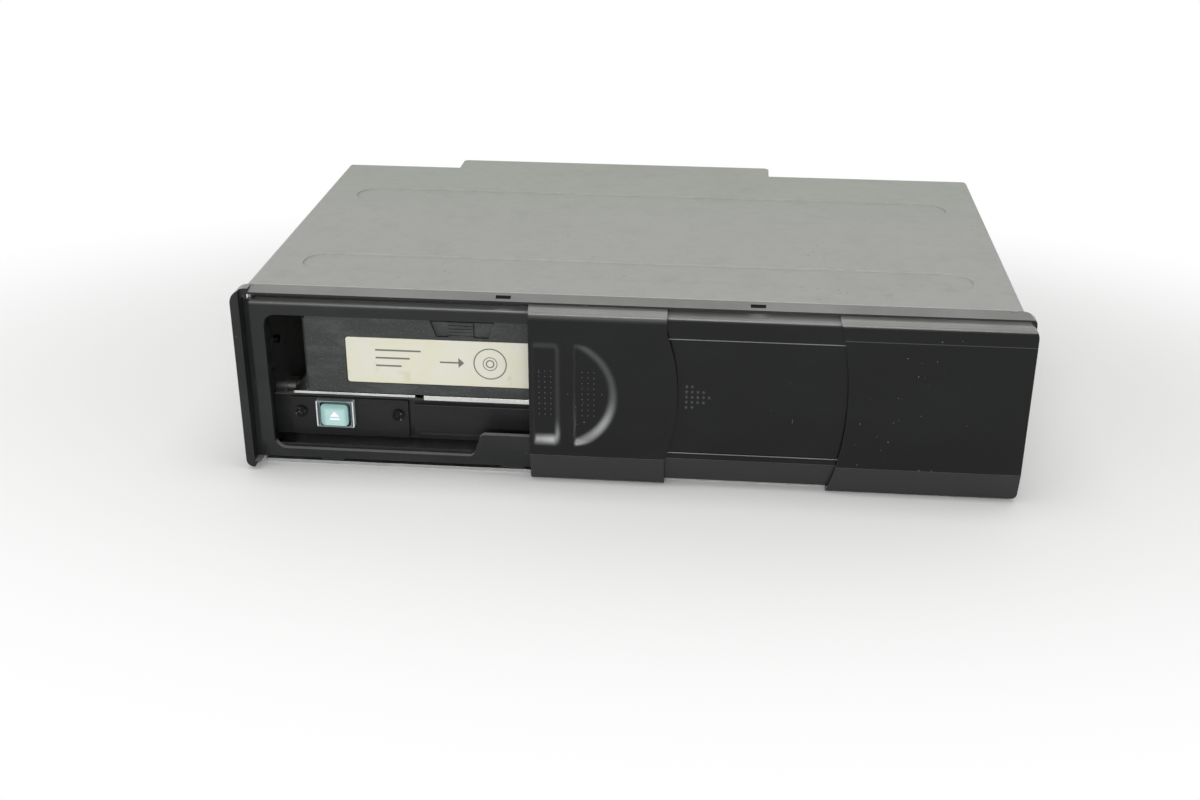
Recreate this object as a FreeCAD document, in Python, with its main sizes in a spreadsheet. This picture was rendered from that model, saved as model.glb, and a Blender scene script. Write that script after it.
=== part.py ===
"""Trunk-mounted changer for six compact discs: case, sliding front doors, magazine and drive.

Millimetres. X runs along the width, Y from the front to the back, Z up.
Every piece is drawn with Y = 0 on the face of the doors and is then shifted
so that the origin lies under the middle of the whole unit.
"""

import FreeCAD
import Part

import math
import os
import re

import Sketcher

from FreeCAD import Vector

doc = FreeCAD.newDocument("disc_changer")

# ---------------------------------------------------------------- sizes

values = {
    # whole unit
    "height": "wall_top + roof_space",  # floor of the chassis to the roof of the cover
    "half_width": (
        "(window_side + mag_inset + mag_side + tray_left_gap + tray_length / 2 + tray_travel + "
        "disc_radius + disc_fit + disc_margin) / 2"),
    "depth": "case_back + hood_reach",  # face of the doors to the end of the rear hood
    "roof_space": 7.6,  # top of the chassis wall to the roof
    "hood_reach": 11.9,
    # sheet metal case
    "case_half": "half_width - frame_side",
    "frame_side": 4.1,  # side of the case to the side of the front frame
    "case_front": 6.4,
    "case_back": "base_back + base_clear",
    "base_clear": 3.3,  # floating frame to the rear wall
    "sheet": 1.0,
    "cover_bend": 2.0,
    "cover_hem": 0.6,           # height of the lower edge of the cover's sides
    "hood_left": -81.3,
    "hood_right": 48.0,
    "bead_half": "case_half - bead_end",  # half length of a stiffening bead
    "bead_end": 12.9,
    "bead_width": 19.0,
    "bead_deep": 0.5,
    "bead_front": 21.0,
    "bead_rear": "case_back - bead_reach",
    "bead_reach": 49.7,
    "floor_sheet": 1.2,
    "floor_front": 7.0,
    "sheet_fit": 0.05,          # cover side to chassis side
    "wall_top": (
        "mag_low + 2 * mag_wall + 2 * tray_gap + (tray_count - 1) * tray_pitch + tray_thick + "
        "cradle_gap + cradle_sheet + board_space"),
    "board_space": 5.4,  # cradle roof to the board ledges
    "wall_front": 17.0,
    "rear_top": "height - rear_drop",
    "rear_drop": 2.2,
    "shelf_width": 12.0,
    "nut_radius": 4.0,
    "nut_length": 3.0,
    "thread_radius": 2.5,
    "bolt_hole": 3.2,
    "bolt_front": 38.0,
    "bolt_rear": "case_back - bolt_inset",
    "bolt_inset": 32.1,
    "bolt_height": 15.0,
    "case_screw_head": 2.8,
    "case_screw_shank": 1.45,
    "case_screw_fit": 0.4,
    "case_screw_front": 24.0,
    "case_screw_rear": "case_back - case_screw_inset",
    "case_screw_inset": 16.1,
    "case_screw_z": 40.0,
    "case_screw_length": 4.0,
    # front frame
    "band_front": 1.9,
    "band_seam": "height - seam_drop",
    "seam_drop": 0.3,
    "roof_low": "band_seam - roof_deep",
    "roof_deep": 2.0,
    "roof_edge": 0.7,
    "collar_front": 5.6,
    "collar_back": 9.3,
    "collar_fit": 0.2,
    "rim_inner": "half_width - rim_wall",
    "rim_wall": 3.0,
    "skirt_half": "case_half - skirt_inset",
    "skirt_inset": 2.6,
    "skirt_wall": 1.2,
    "slot_back": 7.2,
    "groove_back": 6.3,
    "boss_half": 4.0,
    "boss_front": 8.0,
    "boss_top": 4.3,
    "boss_inner": 40.0,
    "boss_outer": "case_half - corner_inset",
    "corner_inset": 24.9,
    "rib_left": "plate_right + rib_gap",
    "rib_gap": 0.6,
    "rib_space": 2.0,
    "rib_wall": 1.4,
    "rib_low": 10.6,
    "carrier_back": "plate_face + plate_thick + carrier_thick",
    "carrier_thick": 1.6,
    "carrier_low": 8.3,
    "frame_low_edge": 4.6,
    "stand_radius": 1.6,
    "stand_space": 11.0,
    "board_front": "stem_back + switch_deep",
    "switch_deep": 4.0,
    "notch_x": "case_half - notch_inset",
    "notch_inset": 3.5,
    "notch_half": 1.2,
    "notch_deep_seam": 0.8,
    "screw_reach": 3.0,
    "skirt_back": 16.0,
    "rim_front": 0.3,
    "rim_low": 1.0,
    "rim_corner": 3.0,          # inside corner between the band and the left rim
    "foot_corner": 2.6,
    "foot_reach": 2.1,          # hollow of the left rim's foot
    "frame_corner": 5.0,
    "frame_wall": 2.0,
    "frame_left": "frame_lap - case_half",
    "frame_lap": 1.4,
    "frame_right": "half_width - frame_inset",
    "frame_inset": 2.5,
    "rail_thick": 2.6,
    "rail_back": 8.0,
    "window_left": "window_side - half_width",
    "window_side": 10.0,
    "window_right": "rib_left + rib_wall + rib_space",
    "window_top": "lip_top - window_drop",
    "window_drop": 7.3,
    "window_low": 6.8,
    "window_sill": 15.9,
    "sill_left": -50.0,
    "sill_slope": 3.0,
    "sill_round": 2.2,
    "window_corner": 4.0,
    "snap_length": 5.0,
    "snap_width": 1.8,
    "snap_left": -43.5,
    "snap_right": 40.5,
    "snap_back": 3.2,
    # doors and cover on the front
    "wall": 1.4,                # wall of the outer door and of the fixed cover
    "door_gap": 0.3,            # running gap between two front layers
    "middle_wall": 1.2,
    "lip_top": "height - lip_drop",  # upper face of the outer lip
    "lip_drop": 2.6,
    "lip_wall": 1.1,
    "lip_back": 7.0,
    "lip_low_back": 6.0,
    "lip_low": 0.4,
    "middle_lip": 1.0,
    "slope_back": 3.3,
    "brow_front": 1.4,
    "brow_top": "lip_top - brow_rise",
    "brow_rise": 1.0,
    "brow_sag": 0.45,
    "brow_set": 0.2,
    "brow_low": "lip_top - brow_drop",
    "brow_drop": 4.2,
    "chin_low": 1.3,
    "toe": 0.8,
    "crease_top": "lip_top - crease_drop",
    "crease_drop": 7.7,
    "crease_low": 10.7,
    "chin": 2.2,                # set-back of the lowest strip
    "door_left": -32.5,
    "door_right": 13.6,
    "door_bulge": 4.0,
    "cover_left": 68.4,
    "cover_bulge": 5.4,
    "cover_corner": 2.6,        # lower corner of the fixed cover
    "middle_left": -19.0,
    "middle_length": "cover_left + cover_lap - middle_left",
    "cover_lap": 23.6,  # middle door behind the fixed cover
    "panel_low": "crease_low + panel_margin",
    "panel_margin": 2.4,
    "panel_top": "crease_top - panel_margin",
    "panel_deep": 0.3,
    "panel_rim": 2.0,
    "recess_deep": 0.7,
    "recess_low": "crease_low + recess_rise",
    "recess_rise": 3.4,
    "recess_top": "crease_top - recess_drop",
    "recess_drop": 3.8,
    "grip_left": "door_left + grip_inset",
    "grip_inset": 1.3,
    "grip_width": 9.6,
    "thumb_left": "door_left + thumb_inset",
    "thumb_inset": 15.1,
    "thumb_flat": 3.0,
    "thumb_sag": 12.5,
    "dot_radius": 0.5,
    "dot_deep": 0.25,
    "dot_pitch": 1.9,
    "arrow_left": "door_right + arrow_gap",
    "arrow_gap": 6.9,
    "arrow_height": 34.0,
    # eject key
    "plate_face": 12.4,
    "plate_thick": 1.6,
    "plate_low": 8.9,
    "plate_top": "mag_low - plate_drop",
    "plate_drop": 2.6,
    "plate_left": "window_left + plate_inset",
    "plate_inset": 4.0,
    "plate_split": "plate_left + plate_length",
    "plate_length": 42.0,
    "plate_right": "mag_left + mag_width + plate_end",
    "plate_end": 0.8,
    "plate_joint": 2.0,
    "key_x": "plate_left + key_inset",
    "key_inset": 16.3,
    "key_z": 18.1,
    "key_half": 4.9,
    "key_rise": 4.1,
    "key_face": "plate_face - key_stand",
    "key_stand": 3.2,
    "key_fit": 0.25,
    "key_travel": 2.0,
    "key_corner": 1.5,
    "collar_half": 6.7,
    "collar_rise": 5.05,
    "collar_corner": 0.6,
    "collar_face": "plate_face - collar_stand",
    "collar_stand": 2.5,
    "collar_step": 0.5,
    "key_screw_left": "plate_left + screw_inset",
    "screw_inset": 3.6,
    "key_screw_right": "plate_split - screw_inset",
    "key_screw_z": 17.8,
    "screw_head": 2.1,
    "screw_shank": 1.2,
    "screw_rise": 1.0,
    "screw_free": 0.4,
    "screw_sink": 0.8,
    "board_thick": 1.6,
    "board_rise": 4.9,
    "stem_radius": 1.5,
    "stem_back": "flange_back + stem_rise",
    "stem_rise": 1.0,
    "flange_front": "carrier_back + flange_gap",
    "flange_gap": 0.3,
    "flange_back": "flange_front + flange_thick",
    "flange_thick": 1.1,
    "flange_rim": 0.8,
    "switch_half": 3.0,
    "switch_gap": 0.2,
    # magazine
    "front_lip": 1.6,           # lip along the upper edge of the magazine's front
    "lip_space": 0.3,           # that lip to the cradle's roof
    "mag_left": "window_left + mag_inset",
    "mag_inset": 10.2,
    "mag_width": "mag_side + tray_left_gap + tray_length + mag_mouth",
    "mag_mouth": 3.7,  # end of the trays to the open side
    "mag_depth": "2 * (disc_radius + disc_fit + tray_edge + tray_fit + mag_side)",
    "mag_low": (
        "drive_low + drive_sheet + spindle_motor_height + table_gap + table_thick + clamp_lift + "
        "clamp_thick + stack_gap"),
    "stack_gap": 4.4,  # parked clamper to the magazine
    "mag_wall": 1.3,
    "mag_side": 1.6,
    "mag_corner": 1.2,
    "tray_count": 6,
    "tray_pitch": 4.2,
    "tray_thick": 3.0,
    "tray_floor": 1.0,
    "tray_gap": 0.4,            # magazine floor to the lowest tray
    "tray_length": "2 * (disc_radius + disc_fit + tray_end)",
    "tray_end": 0.4,
    "tray_fit": 0.2,
    "tray_left_gap": 0.7,
    "disc_radius": 60.0,
    "disc_fit": 0.6,
    "hub_window": 20.0,
    "sled_window": 17.6,
    "tray_rim": 1.5,
    "tray_edge": 1.6,
    "tray_travel": 113.0,
    "disc_margin": 8.9,  # disc in play to the side of the front frame
    "mouth": "cradle_right - mouth_inset",  # where the rear wall of the magazine ends for the loading wheel
    "mouth_inset": 12.8,
    "comb_deep": 2.0,
    "comb_thick": 0.7,
    "label_left": "mag_left + label_inset",
    "label_inset": 15.1,
    "label_length": "mag_width - 2 * label_inset",
    "label_low": "mag_low + label_rise",
    "label_rise": 4.2,
    "label_height": 16.8,
    "label_thick": 0.2,
    "label_fit": 0.3,
    "label_corner": 1.0,
    "notch_left": "mag_left + thumb_notch",
    "thumb_notch": 43.9,
    "notch_length": 24.0,
    "notch_low": "label_low + label_height + notch_gap",
    "notch_gap": 1.2,
    "notch_deep": 1.0,
    "notch_slope": 3.0,
    "catch_left": "notch_left + catch_inset",
    "catch_inset": 7.4,
    "catch_length": 8.6,
    "catch_height": 5.4,
    "catch_rib": 0.4,
    # magazine cradle
    "cradle_left": "mag_left - cradle_side",
    "cradle_side": 4.8,
    "cradle_right": "mag_left + mag_width + cradle_end",
    "cradle_end": 0.6,
    "cradle_sheet": 1.0,
    "cradle_lip": 0.8,
    "lip_way": 1.2,             # room for the cradle's lip above the lower plate
    "cradle_front": "plate_face + back_gap",
    "leg_front": 30.0,
    "leg_back": "cradle_back - leg_inset",
    "leg_inset": 29.6,
    "cradle_window": "mag_left + mag_width / 2 - window_shift",
    "window_shift": 1.2,
    "window_half": 40.0,
    "cradle_gap": 0.4,
    "cradle_back": "plate_face + mag_depth + back_gap",
    "back_gap": 1.2,
    "cradle_slot": 3.0,
    "cradle_slot_x": "mag_left + slot_inset",
    "slot_inset": 39.9,
    # floating frame
    "base_low": 5.8,
    "base_sheet": 1.0,
    "base_left": "cradle_left - cradle_gap",
    "base_right": "case_half - base_inset",
    "base_inset": 6.4,
    "base_front": 8.0,
    "base_back": "cradle_back + base_reach",
    "base_reach": 5.2,
    "bridge_low": "wall_top + bridge_rise",
    "bridge_rise": 0.6,
    "bridge_sheet": 1.0,
    "bridge_front": 8.2,
    "bridge_deep": 5.4,
    "bridge_left": "cradle_right + bridge_inset",
    "bridge_inset": 6.2,
    "upright": 1.9,
    "damper_radius": 6.0,
    "damper_taper": 1.2,
    "waist_radius": 0.9,
    "waist_out": 0.2,
    "damper_side": "case_half - corner_inset",
    "damper_front": 28.0,
    "damper_rear": "base_back - damper_inset",
    "damper_inset": 14.8,
    # lift
    "post_radius": 1.5,
    "post_front": "bridge_front + post_set",
    "post_set": 2.4,
    "post_rear": "cradle_back + post_gap",
    "post_gap": 1.4,
    "post_left": "cradle_right + post_inset",
    "post_inset": 11.2,
    "post_right": "base_right - post_margin",
    "post_margin": 5.5,
    "lift_radius": 2.0,
    "thread_pitch": 2.5,
    "thread_deep": 0.35,
    "lift_x": "post_left + lift_inset",
    "lift_inset": 2.5,
    "bush_radius": 3.0,
    "shaft_fit": 0.05,
    "lift_module": 0.6,
    "pinion_teeth": 12,
    "wheel_teeth": 16,
    "gear_low": "base_low + gear_rise",
    "gear_rise": 1.3,
    "gear_bore": 1.0,
    "gear_pitch_gap": 0.02,
    "motor_height": 12.0,
    "motor_gap": 0.6,
    "bracket_low": "gear_low + bracket_rise",
    "bracket_rise": 2.7,
    "motor_base": 12.0,
    "motor_flat": 3.8,
    "gear_thick": 2.0,
    "gear_play": 0.16,
    "motor_radius": 5.0,
    "bracket_sheet": 0.8,
    # drive
    "drive_low": 10.4,
    "drive_sheet": 1.0,
    "drive_left": "cradle_right + drive_inset",
    "drive_inset": 4.2,
    "drive_right": "base_right - drive_margin",
    "drive_margin": 2.2,
    "spindle_motor_radius": 12.0,
    "spindle_motor_height": 4.2,
    "table_radius": 14.5,
    "table_thick": 1.9,
    "table_gap": 0.3,
    "cone_radius": 7.3,
    "cone_height": 1.4,
    "clamp_radius": 13.0,
    "clamp_thick": 2.2,
    "clamp_lift": 1.4,          # turntable pad to the clamper, a disc and a little air
    "clamp_neck": 4.0,
    "arm_thick": 1.0,
    "arm_width": 22.0,
    "hinge_y": "post_rear - hinge_set",
    "hinge_set": 0.6,
    "hinge_radius": 1.2,
    "hinge_ear": 1.2,
    "hinge_height": 12.6,
    "hinge_half": 13.6,
    "sled_start": 23.0,         # radius on the disc that the lens reads first
    "sled_length": 16.0,
    "sled_half": 15.0,
    "sled_height": 4.2,
    "sled_pitch": 2.0,
    "sled_turns": 27,
    "rod_radius": 1.2,
    "rod_space": 19.0,
    "lens_radius": 2.6,
    "lens_rise": 0.8,
    "lens_travel": 0.5,
    "rod_height": 4.4,
    "rod_front": 8.2,
    "rod_back": "plate_face + mag_depth / 2 - rod_inset",
    "rod_inset": 7.9,
    "rod_stand": 1.6,
    "sled_low": 1.5,
    "sled_motor": 3.0,
    "sled_motor_length": 11.0,
    "rack_module": 0.8,
    "wheel_clear": 0.5,         # tip of the loading wheel to the magazine as the drive rises
    "load_teeth": 8,
    "load_x": "cradle_right - load_inset",
    "load_inset": 6.3,
    "load_low": 5.8,
    "load_thick": 2.4,
    "load_bracket": 8.8,
    "load_leg": 4.6,
    "load_motor_radius": 3.4,
    "load_motor_height": 6.0,
    "load_motor_y": "post_rear",
    "ear_front": "hinge_y - ear_near",
    "ear_near": 2.8,
    "ear_back": "hinge_y + ear_far",
    "ear_far": 4.0,
    "ear_left": "load_x - ear_side",
    "ear_side": 2.5,
    "bush_height": 8.0,
    # electronics
    "main_left": "main_inset - case_half",
    "main_inset": 4.9,
    "main_right": "main_left + main_length",
    "main_length": 106.0,
    "main_front": 24.0,
    "main_back": "case_back - main_gap",
    "main_gap": 4.6,
    "board_screw_in": 5.0,
    "socket_radius": 7.5,
    "socket_back": "case_back + socket_reach",
    "socket_reach": 7.9,
    "socket_inside": 4.0,
    "pin_radius": 0.5,
    "pin_circle": 4.0,
    "socket_x": -58.0,
    "socket_space": 26.0,
    "socket_z": "wall_top - socket_drop",
    "socket_drop": 12.0,
    "socket_fit": 0.3,
    "fibre_x": "socket_x + 2 * socket_space + fibre_shift",
    "fibre_shift": 2.0,
    "fibre_half": 5.5,
    "dial_radius": 8.0,
    "dial_hub": 4.0,
    "dial_thick": 1.5,
    "dial_flange": 6.2,
    "dial_inner": 1.2,
    "dial_fit": 0.1,
    "dial_y": 82.0,
    "dial_z": 15.0,
    "spring_radius": 0.95,
    "spring_turns": 12,
    "spring_wire": 0.25,
    "spring_x": "case_half - spring_inset",
    "spring_inset": 4.9,
    "spring_low": "base_low + spring_seat",
    "spring_seat": 1.5,
    "spring_high": "dial_z + spring_rise",
    "spring_rise": 3.4,
    "peg_radius": 0.6,
    "peg_rise": 4.0,
    "tab_half": 1.0,
}


# a text among the sizes is a formula of other sizes
sizes = doc.addObject("Spreadsheet::Sheet", "Sizes")
for row, (alias, entry) in enumerate(values.items(), start=1):
    sizes.set(f"A{row}", alias)
    sizes.set(f"B{row}", "0" if isinstance(entry, str) else str(entry))
    sizes.setAlias(f"B{row}", alias)
for row, entry in enumerate(values.values(), start=1):
    if isinstance(entry, str):
        sizes.set(f"B{row}", "=" + entry)
doc.recompute()


# ---------------------------------------------------------------- helpers

PRESSURE_ANGLE = 20.0            # degrees, of every gear tooth

subparts = []


def bound(text):
    """An expression in which every size is read from the sheet."""
    return re.sub(r"[a-z]\w*",
                  lambda word: "Sizes." + word.group() if word.group() in values else word.group(),
                  str(text))


def num(text):
    """The present value of an expression."""
    return float(sizes.evalExpression(bound(text)))


def bind(item, path, text):
    item.setExpression(path, bound(text))


def block(x0, x1, y0, y1, z0, z1):
    """A box between two corners, each coordinate an expression."""
    box = doc.addObject("Part::Box", "Block")
    for path, low, high in (("Length", x0, x1), ("Width", y0, y1), ("Height", z0, z1)):
        bind(box, path, f"({high}) - ({low})")
    for path, low in (("x", x0), ("y", y0), ("z", z0)):
        bind(box, f"Placement.Base.{path}", low)
    return box


turned = {
    "X": FreeCAD.Rotation(Vector(0, 1, 0), 90),
    "Y": FreeCAD.Rotation(Vector(1, 0, 0), -90),
    "Z": FreeCAD.Rotation(),
}


def rod(axis, radius, x, y, z, length):
    """A cylinder from a point along +X, +Y or +Z."""
    cylinder = doc.addObject("Part::Cylinder", "Rod")
    cylinder.Placement.Rotation = turned[axis]
    bind(cylinder, "Radius", radius)
    bind(cylinder, "Height", length)
    for path, start in (("x", x), ("y", y), ("z", z)):
        bind(cylinder, f"Placement.Base.{path}", start)
    return cylinder


def cone(radius_low, radius_high, x, y, z, length):
    frustum = doc.addObject("Part::Cone", "Frustum")
    bind(frustum, "Radius1", radius_low)
    bind(frustum, "Radius2", radius_high)
    bind(frustum, "Height", length)
    for path, start in (("x", x), ("y", y), ("z", z)):
        bind(frustum, f"Placement.Base.{path}", start)
    return frustum


def fuse(*pieces):
    if len(pieces) == 1:
        return pieces[0]
    union = doc.addObject("Part::MultiFuse", "Union")
    union.Shapes = list(pieces)
    union.Refine = True
    return union


def group(*pieces):
    """Several loose solids kept in one shape."""
    compound = doc.addObject("Part::Compound", "Group")
    compound.Links = list(pieces)
    return compound


def cut(base, *tools):
    difference = doc.addObject("Part::Cut", "Difference")
    difference.Base = base
    difference.Tool = fuse(*tools)
    difference.Refine = True
    return difference


def common(*pieces):
    overlap = doc.addObject("Part::MultiCommon", "Overlap")
    overlap.Shapes = list(pieces)
    return overlap


def rounded(item, radius, wanted):
    """Fillet the edges whose middle and direction the function wanted accepts."""
    doc.recompute()
    chosen = []
    for index, edge in enumerate(item.Shape.Edges, start=1):
        middle = edge.valueAt((edge.FirstParameter + edge.LastParameter) / 2)
        if edge.Curve.TypeId == "Part::GeomLine" and wanted(middle, edge.tangentAt(edge.FirstParameter)):
            chosen.append((index, num(radius), num(radius)))
    fillet = doc.addObject("Part::Fillet", "Rounding")
    fillet.Base = item
    fillet.Edges = chosen
    return fillet


def plain(shape, name="Shape"):
    feature = doc.addObject("Part::Feature", name)
    feature.Shape = shape
    return feature


def finish(item, label):
    """Name the sub-part and centre it on the unit's origin."""
    if item.TypeId in ("Part::Box", "Part::Cylinder"):
        item = group(item)
    item.Label = label
    bind(item, "Placement.Base.y", "-depth / 2")
    subparts.append(item)
    return item


# planes of a body: role of the plane, and the sign of its normal along the axis
planes = {"YZ": ("YZ_Plane", 1), "XZ": ("XZ_Plane", -1), "XY": ("XY_Plane", 1)}


def new_body(name):
    return doc.addObject("PartDesign::Body", name)


def arc_ends(point):
    """Which end of its edge a corner is, and which the next one: an arc with a positive sag runs back."""
    backwards = len(point) > 2 and num(point[2]) > 0
    return (2, 1) if backwards else (1, 2)


def sketch(body, plane, place, outline):
    """A closed outline on a plane; a point may carry the sag and chord of an arc that starts there."""
    role, sign = planes[plane]
    drawing = body.newObject("Sketcher::SketchObject", "Outline")
    drawing.AttachmentSupport = [(next(p for p in body.Origin.OriginFeatures if p.Role == role), "")]
    drawing.MapMode = "FlatFace"
    bind(drawing, "AttachmentOffset.Base.z", f"{sign} * ({place})")
    corners = [Vector(num(point[0]), num(point[1]), 0) for point in outline]
    for index, point in enumerate(outline):
        start = corners[index]
        end = corners[(index + 1) % len(corners)]
        if len(point) == 2:
            drawing.addGeometry(Part.LineSegment(start, end), False)
            continue
        chord = end - start
        side = Vector(-chord.y, chord.x, 0).normalize()
        drawing.addGeometry(Part.Arc(start, (start + end) / 2 + side * num(point[2]), end), False)
    for index, point in enumerate(outline):
        following = (index + 1) % len(outline)
        head, tail = arc_ends(point)
        drawing.addConstraint(Sketcher.Constraint("Coincident", index, tail, following,
                                                  arc_ends(outline[following])[0]))
        for kind, text in (("DistanceX", point[0]), ("DistanceY", point[1])):
            order = drawing.addConstraint(Sketcher.Constraint(kind, -1, 1, index, head, num(text)))
            drawing.setExpression(f"Constraints[{order}]", bound(text))
        if len(point) > 2:
            sag, chord = point[2], point[3]
            radius = f"(({chord}) ^ 2 / 4 + ({sag}) ^ 2) / (2 * abs({sag}))"
            order = drawing.addConstraint(Sketcher.Constraint("Radius", index, num(radius)))
            drawing.setExpression(f"Constraints[{order}]", bound(radius))
    return drawing


def pad(body, plane, low, high, outline):
    """Material between two places along the plane's axis."""
    drawing = sketch(body, plane, low, outline)
    feature = body.newObject("PartDesign::Pad", "Pad")
    feature.Profile = drawing
    bind(feature, "Length", f"({high}) - ({low})")
    feature.Reversed = planes[plane][1] < 0
    return feature


def pocket(body, plane, low, high, outline):
    """A hollow between two places along the plane's axis."""
    doc.recompute()
    before = body.Shape.Volume
    drawing = sketch(body, plane, high, outline)
    feature = body.newObject("PartDesign::Pocket", "Pocket")
    feature.Profile = drawing
    bind(feature, "Length", f"({high}) - ({low})")
    feature.Reversed = planes[plane][1] < 0
    doc.recompute()
    if body.Shape.Volume > before - 0.01:
        raise RuntimeError(f"{body.Name}: a pocket removes nothing")
    return feature


def rectangle(x0, x1, y0, y1):
    return [(x0, y0), (x1, y0), (x1, y1), (x0, y1)]


# ---------------------------------------------------------------- front layers

frame_face = "(wall + 2 * door_gap + middle_wall)"
rail_top = "(lip_top - lip_wall - 2 * door_gap - middle_lip)"
frame_low = "(lip_low + lip_wall + 2 * door_gap + middle_lip)"
middle_inset = "(wall + door_gap)"
middle_lip_inset = "(lip_wall + door_gap)"


bezel_bosses = ("-boss_outer", "-boss_inner", "boss_inner", "boss_outer")


def skin(inset, lip_inset):
    """Outline of a front layer in the YZ plane, from the upper lip down to the lower one."""
    return [
        ("lip_back", f"lip_top - {lip_inset}"),
        (f"slope_back + 0.3 * {inset}", f"lip_top - {lip_inset}"),
        (f"brow_front + 0.7 * {inset}", f"brow_top - 0.75 * {lip_inset}", "-brow_sag",
         "sqrt((brow_front - brow_set) ^ 2 + (brow_top - brow_low) ^ 2)"),
        (f"brow_set + {inset}", f"brow_low - 0.1 * {lip_inset}"),
        (f"{inset}", "crease_top"),
        (f"{inset}", "crease_low"),
        (f"chin + {inset}", f"chin_low + 0.9 * {lip_inset}"),
        (f"chin + toe + 0.8 * {inset}", f"lip_low + {lip_inset}"),
        ("lip_low_back", f"lip_low + {lip_inset}"),
    ]


def straight(outline):
    return [point[:2] for point in outline]


def layer(inset, wall, lip_inset, lip_wall):
    """A front layer seen from the side: its outer skin and back along its inner skin."""
    inner = straight(skin(f"({inset} + {wall})", f"({lip_inset} + {lip_wall})"))
    return skin(inset, lip_inset) + inner[::-1]


def outer_door():
    body = new_body("OuterDoor")
    pad(body, "YZ", "door_left", "door_right + door_bulge", layer("0", "wall", "0", "lip_wall"))
    beyond = "door_right + 4 * door_bulge"
    pocket(body, "XZ", "-1", "lip_back + 1", [
        ("door_right", "height", "door_bulge", "height"), ("door_right", "0"), (beyond, "0"),
        (beyond, "height")])
    grip_right = "(grip_left + grip_width)"
    thumb_end = "(thumb_left + thumb_flat)"
    pocket(body, "XZ", "-1", "recess_deep", [
        ("grip_left", "recess_low"), (grip_right, "recess_low"), (grip_right, "recess_top"),
        ("grip_left", "recess_top")])
    pocket(body, "XZ", "-1", "recess_deep", [
        (thumb_end, "recess_low", "-thumb_sag", "recess_top - recess_low"), (thumb_end, "recess_top"),
        ("thumb_left", "recess_top"), ("thumb_left", "recess_low")])
    return finish(body, "outer_door")


def middle_door():
    body = new_body("MiddleDoor")
    right = "(middle_left + middle_length)"
    face = middle_inset
    pad(body, "YZ", "middle_left", right, layer(face, "middle_wall", middle_lip_inset, "middle_lip"))
    pocket(body, "XZ", f"{face} - 1", f"{face} + panel_deep",
           rectangle("middle_left + panel_rim", right + " - panel_rim", "panel_low", "panel_top"))
    dots = []
    columns = [3, 3, 2, 2, 1]
    for column, half in enumerate(columns):
        for step in range(1 - half, half):
            dots.append(rod("Y", "dot_radius", f"arrow_left + {column} * dot_pitch", f"{face} - 1",
                            f"arrow_height + {step} * dot_pitch", "1 + panel_deep + dot_deep"))
    return finish(cut(body, *dots), "middle_door")


def rounded_pair(item, upper, lower):
    """Round the right-hand corners of a block, each with its own radius."""
    item = rounded(item, upper, lambda middle, way: abs(way.y) > 0.999 and middle.x > 1
                   and middle.z > num("height / 2"))
    return rounded(item, lower, lambda middle, way: abs(way.y) > 0.999 and middle.x > 1
                   and middle.z < num("crease_low"))


def right_cover():
    outer = new_body("CoverOuter")
    pad(outer, "YZ", "cover_left - 1", "half_width", skin("0", "0"))
    inner = new_body("CoverInner")
    pad(inner, "YZ", "cover_left - 2", "half_width - wall", straight(skin("wall", "lip_wall")) + [
        ("lip_back + 1", "lip_low + lip_wall"), ("lip_back + 1", "lip_top - lip_wall")])
    corner_out = rounded_pair(block("0", "half_width", "-1", "lip_back", "lip_low", "lip_top"),
                              "frame_corner", "cover_corner")
    corner_in = rounded_pair(block("0", "half_width - wall", "-2", "lip_back + 1", "lip_low + lip_wall",
                                   "lip_top - lip_wall"), "frame_corner - wall", "cover_corner - wall")
    hollow = common(inner, corner_in)
    edge = new_body("CoverEdge")
    pad(edge, "XZ", "-2", "lip_back + 2", [
        ("cover_left", "height + 1", "cover_bulge", "height + 1"), ("cover_left", "-1"), ("0", "-1"),
        ("0", "height + 1")])
    open_back = block("half_width - 2 * frame_corner", "half_width + 1", "collar_front - door_gap",
                      "lip_back + 1", "-1", "height + 1")
    return finish(cut(common(outer, corner_out), hollow, edge, open_back), "right_cover")


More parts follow.
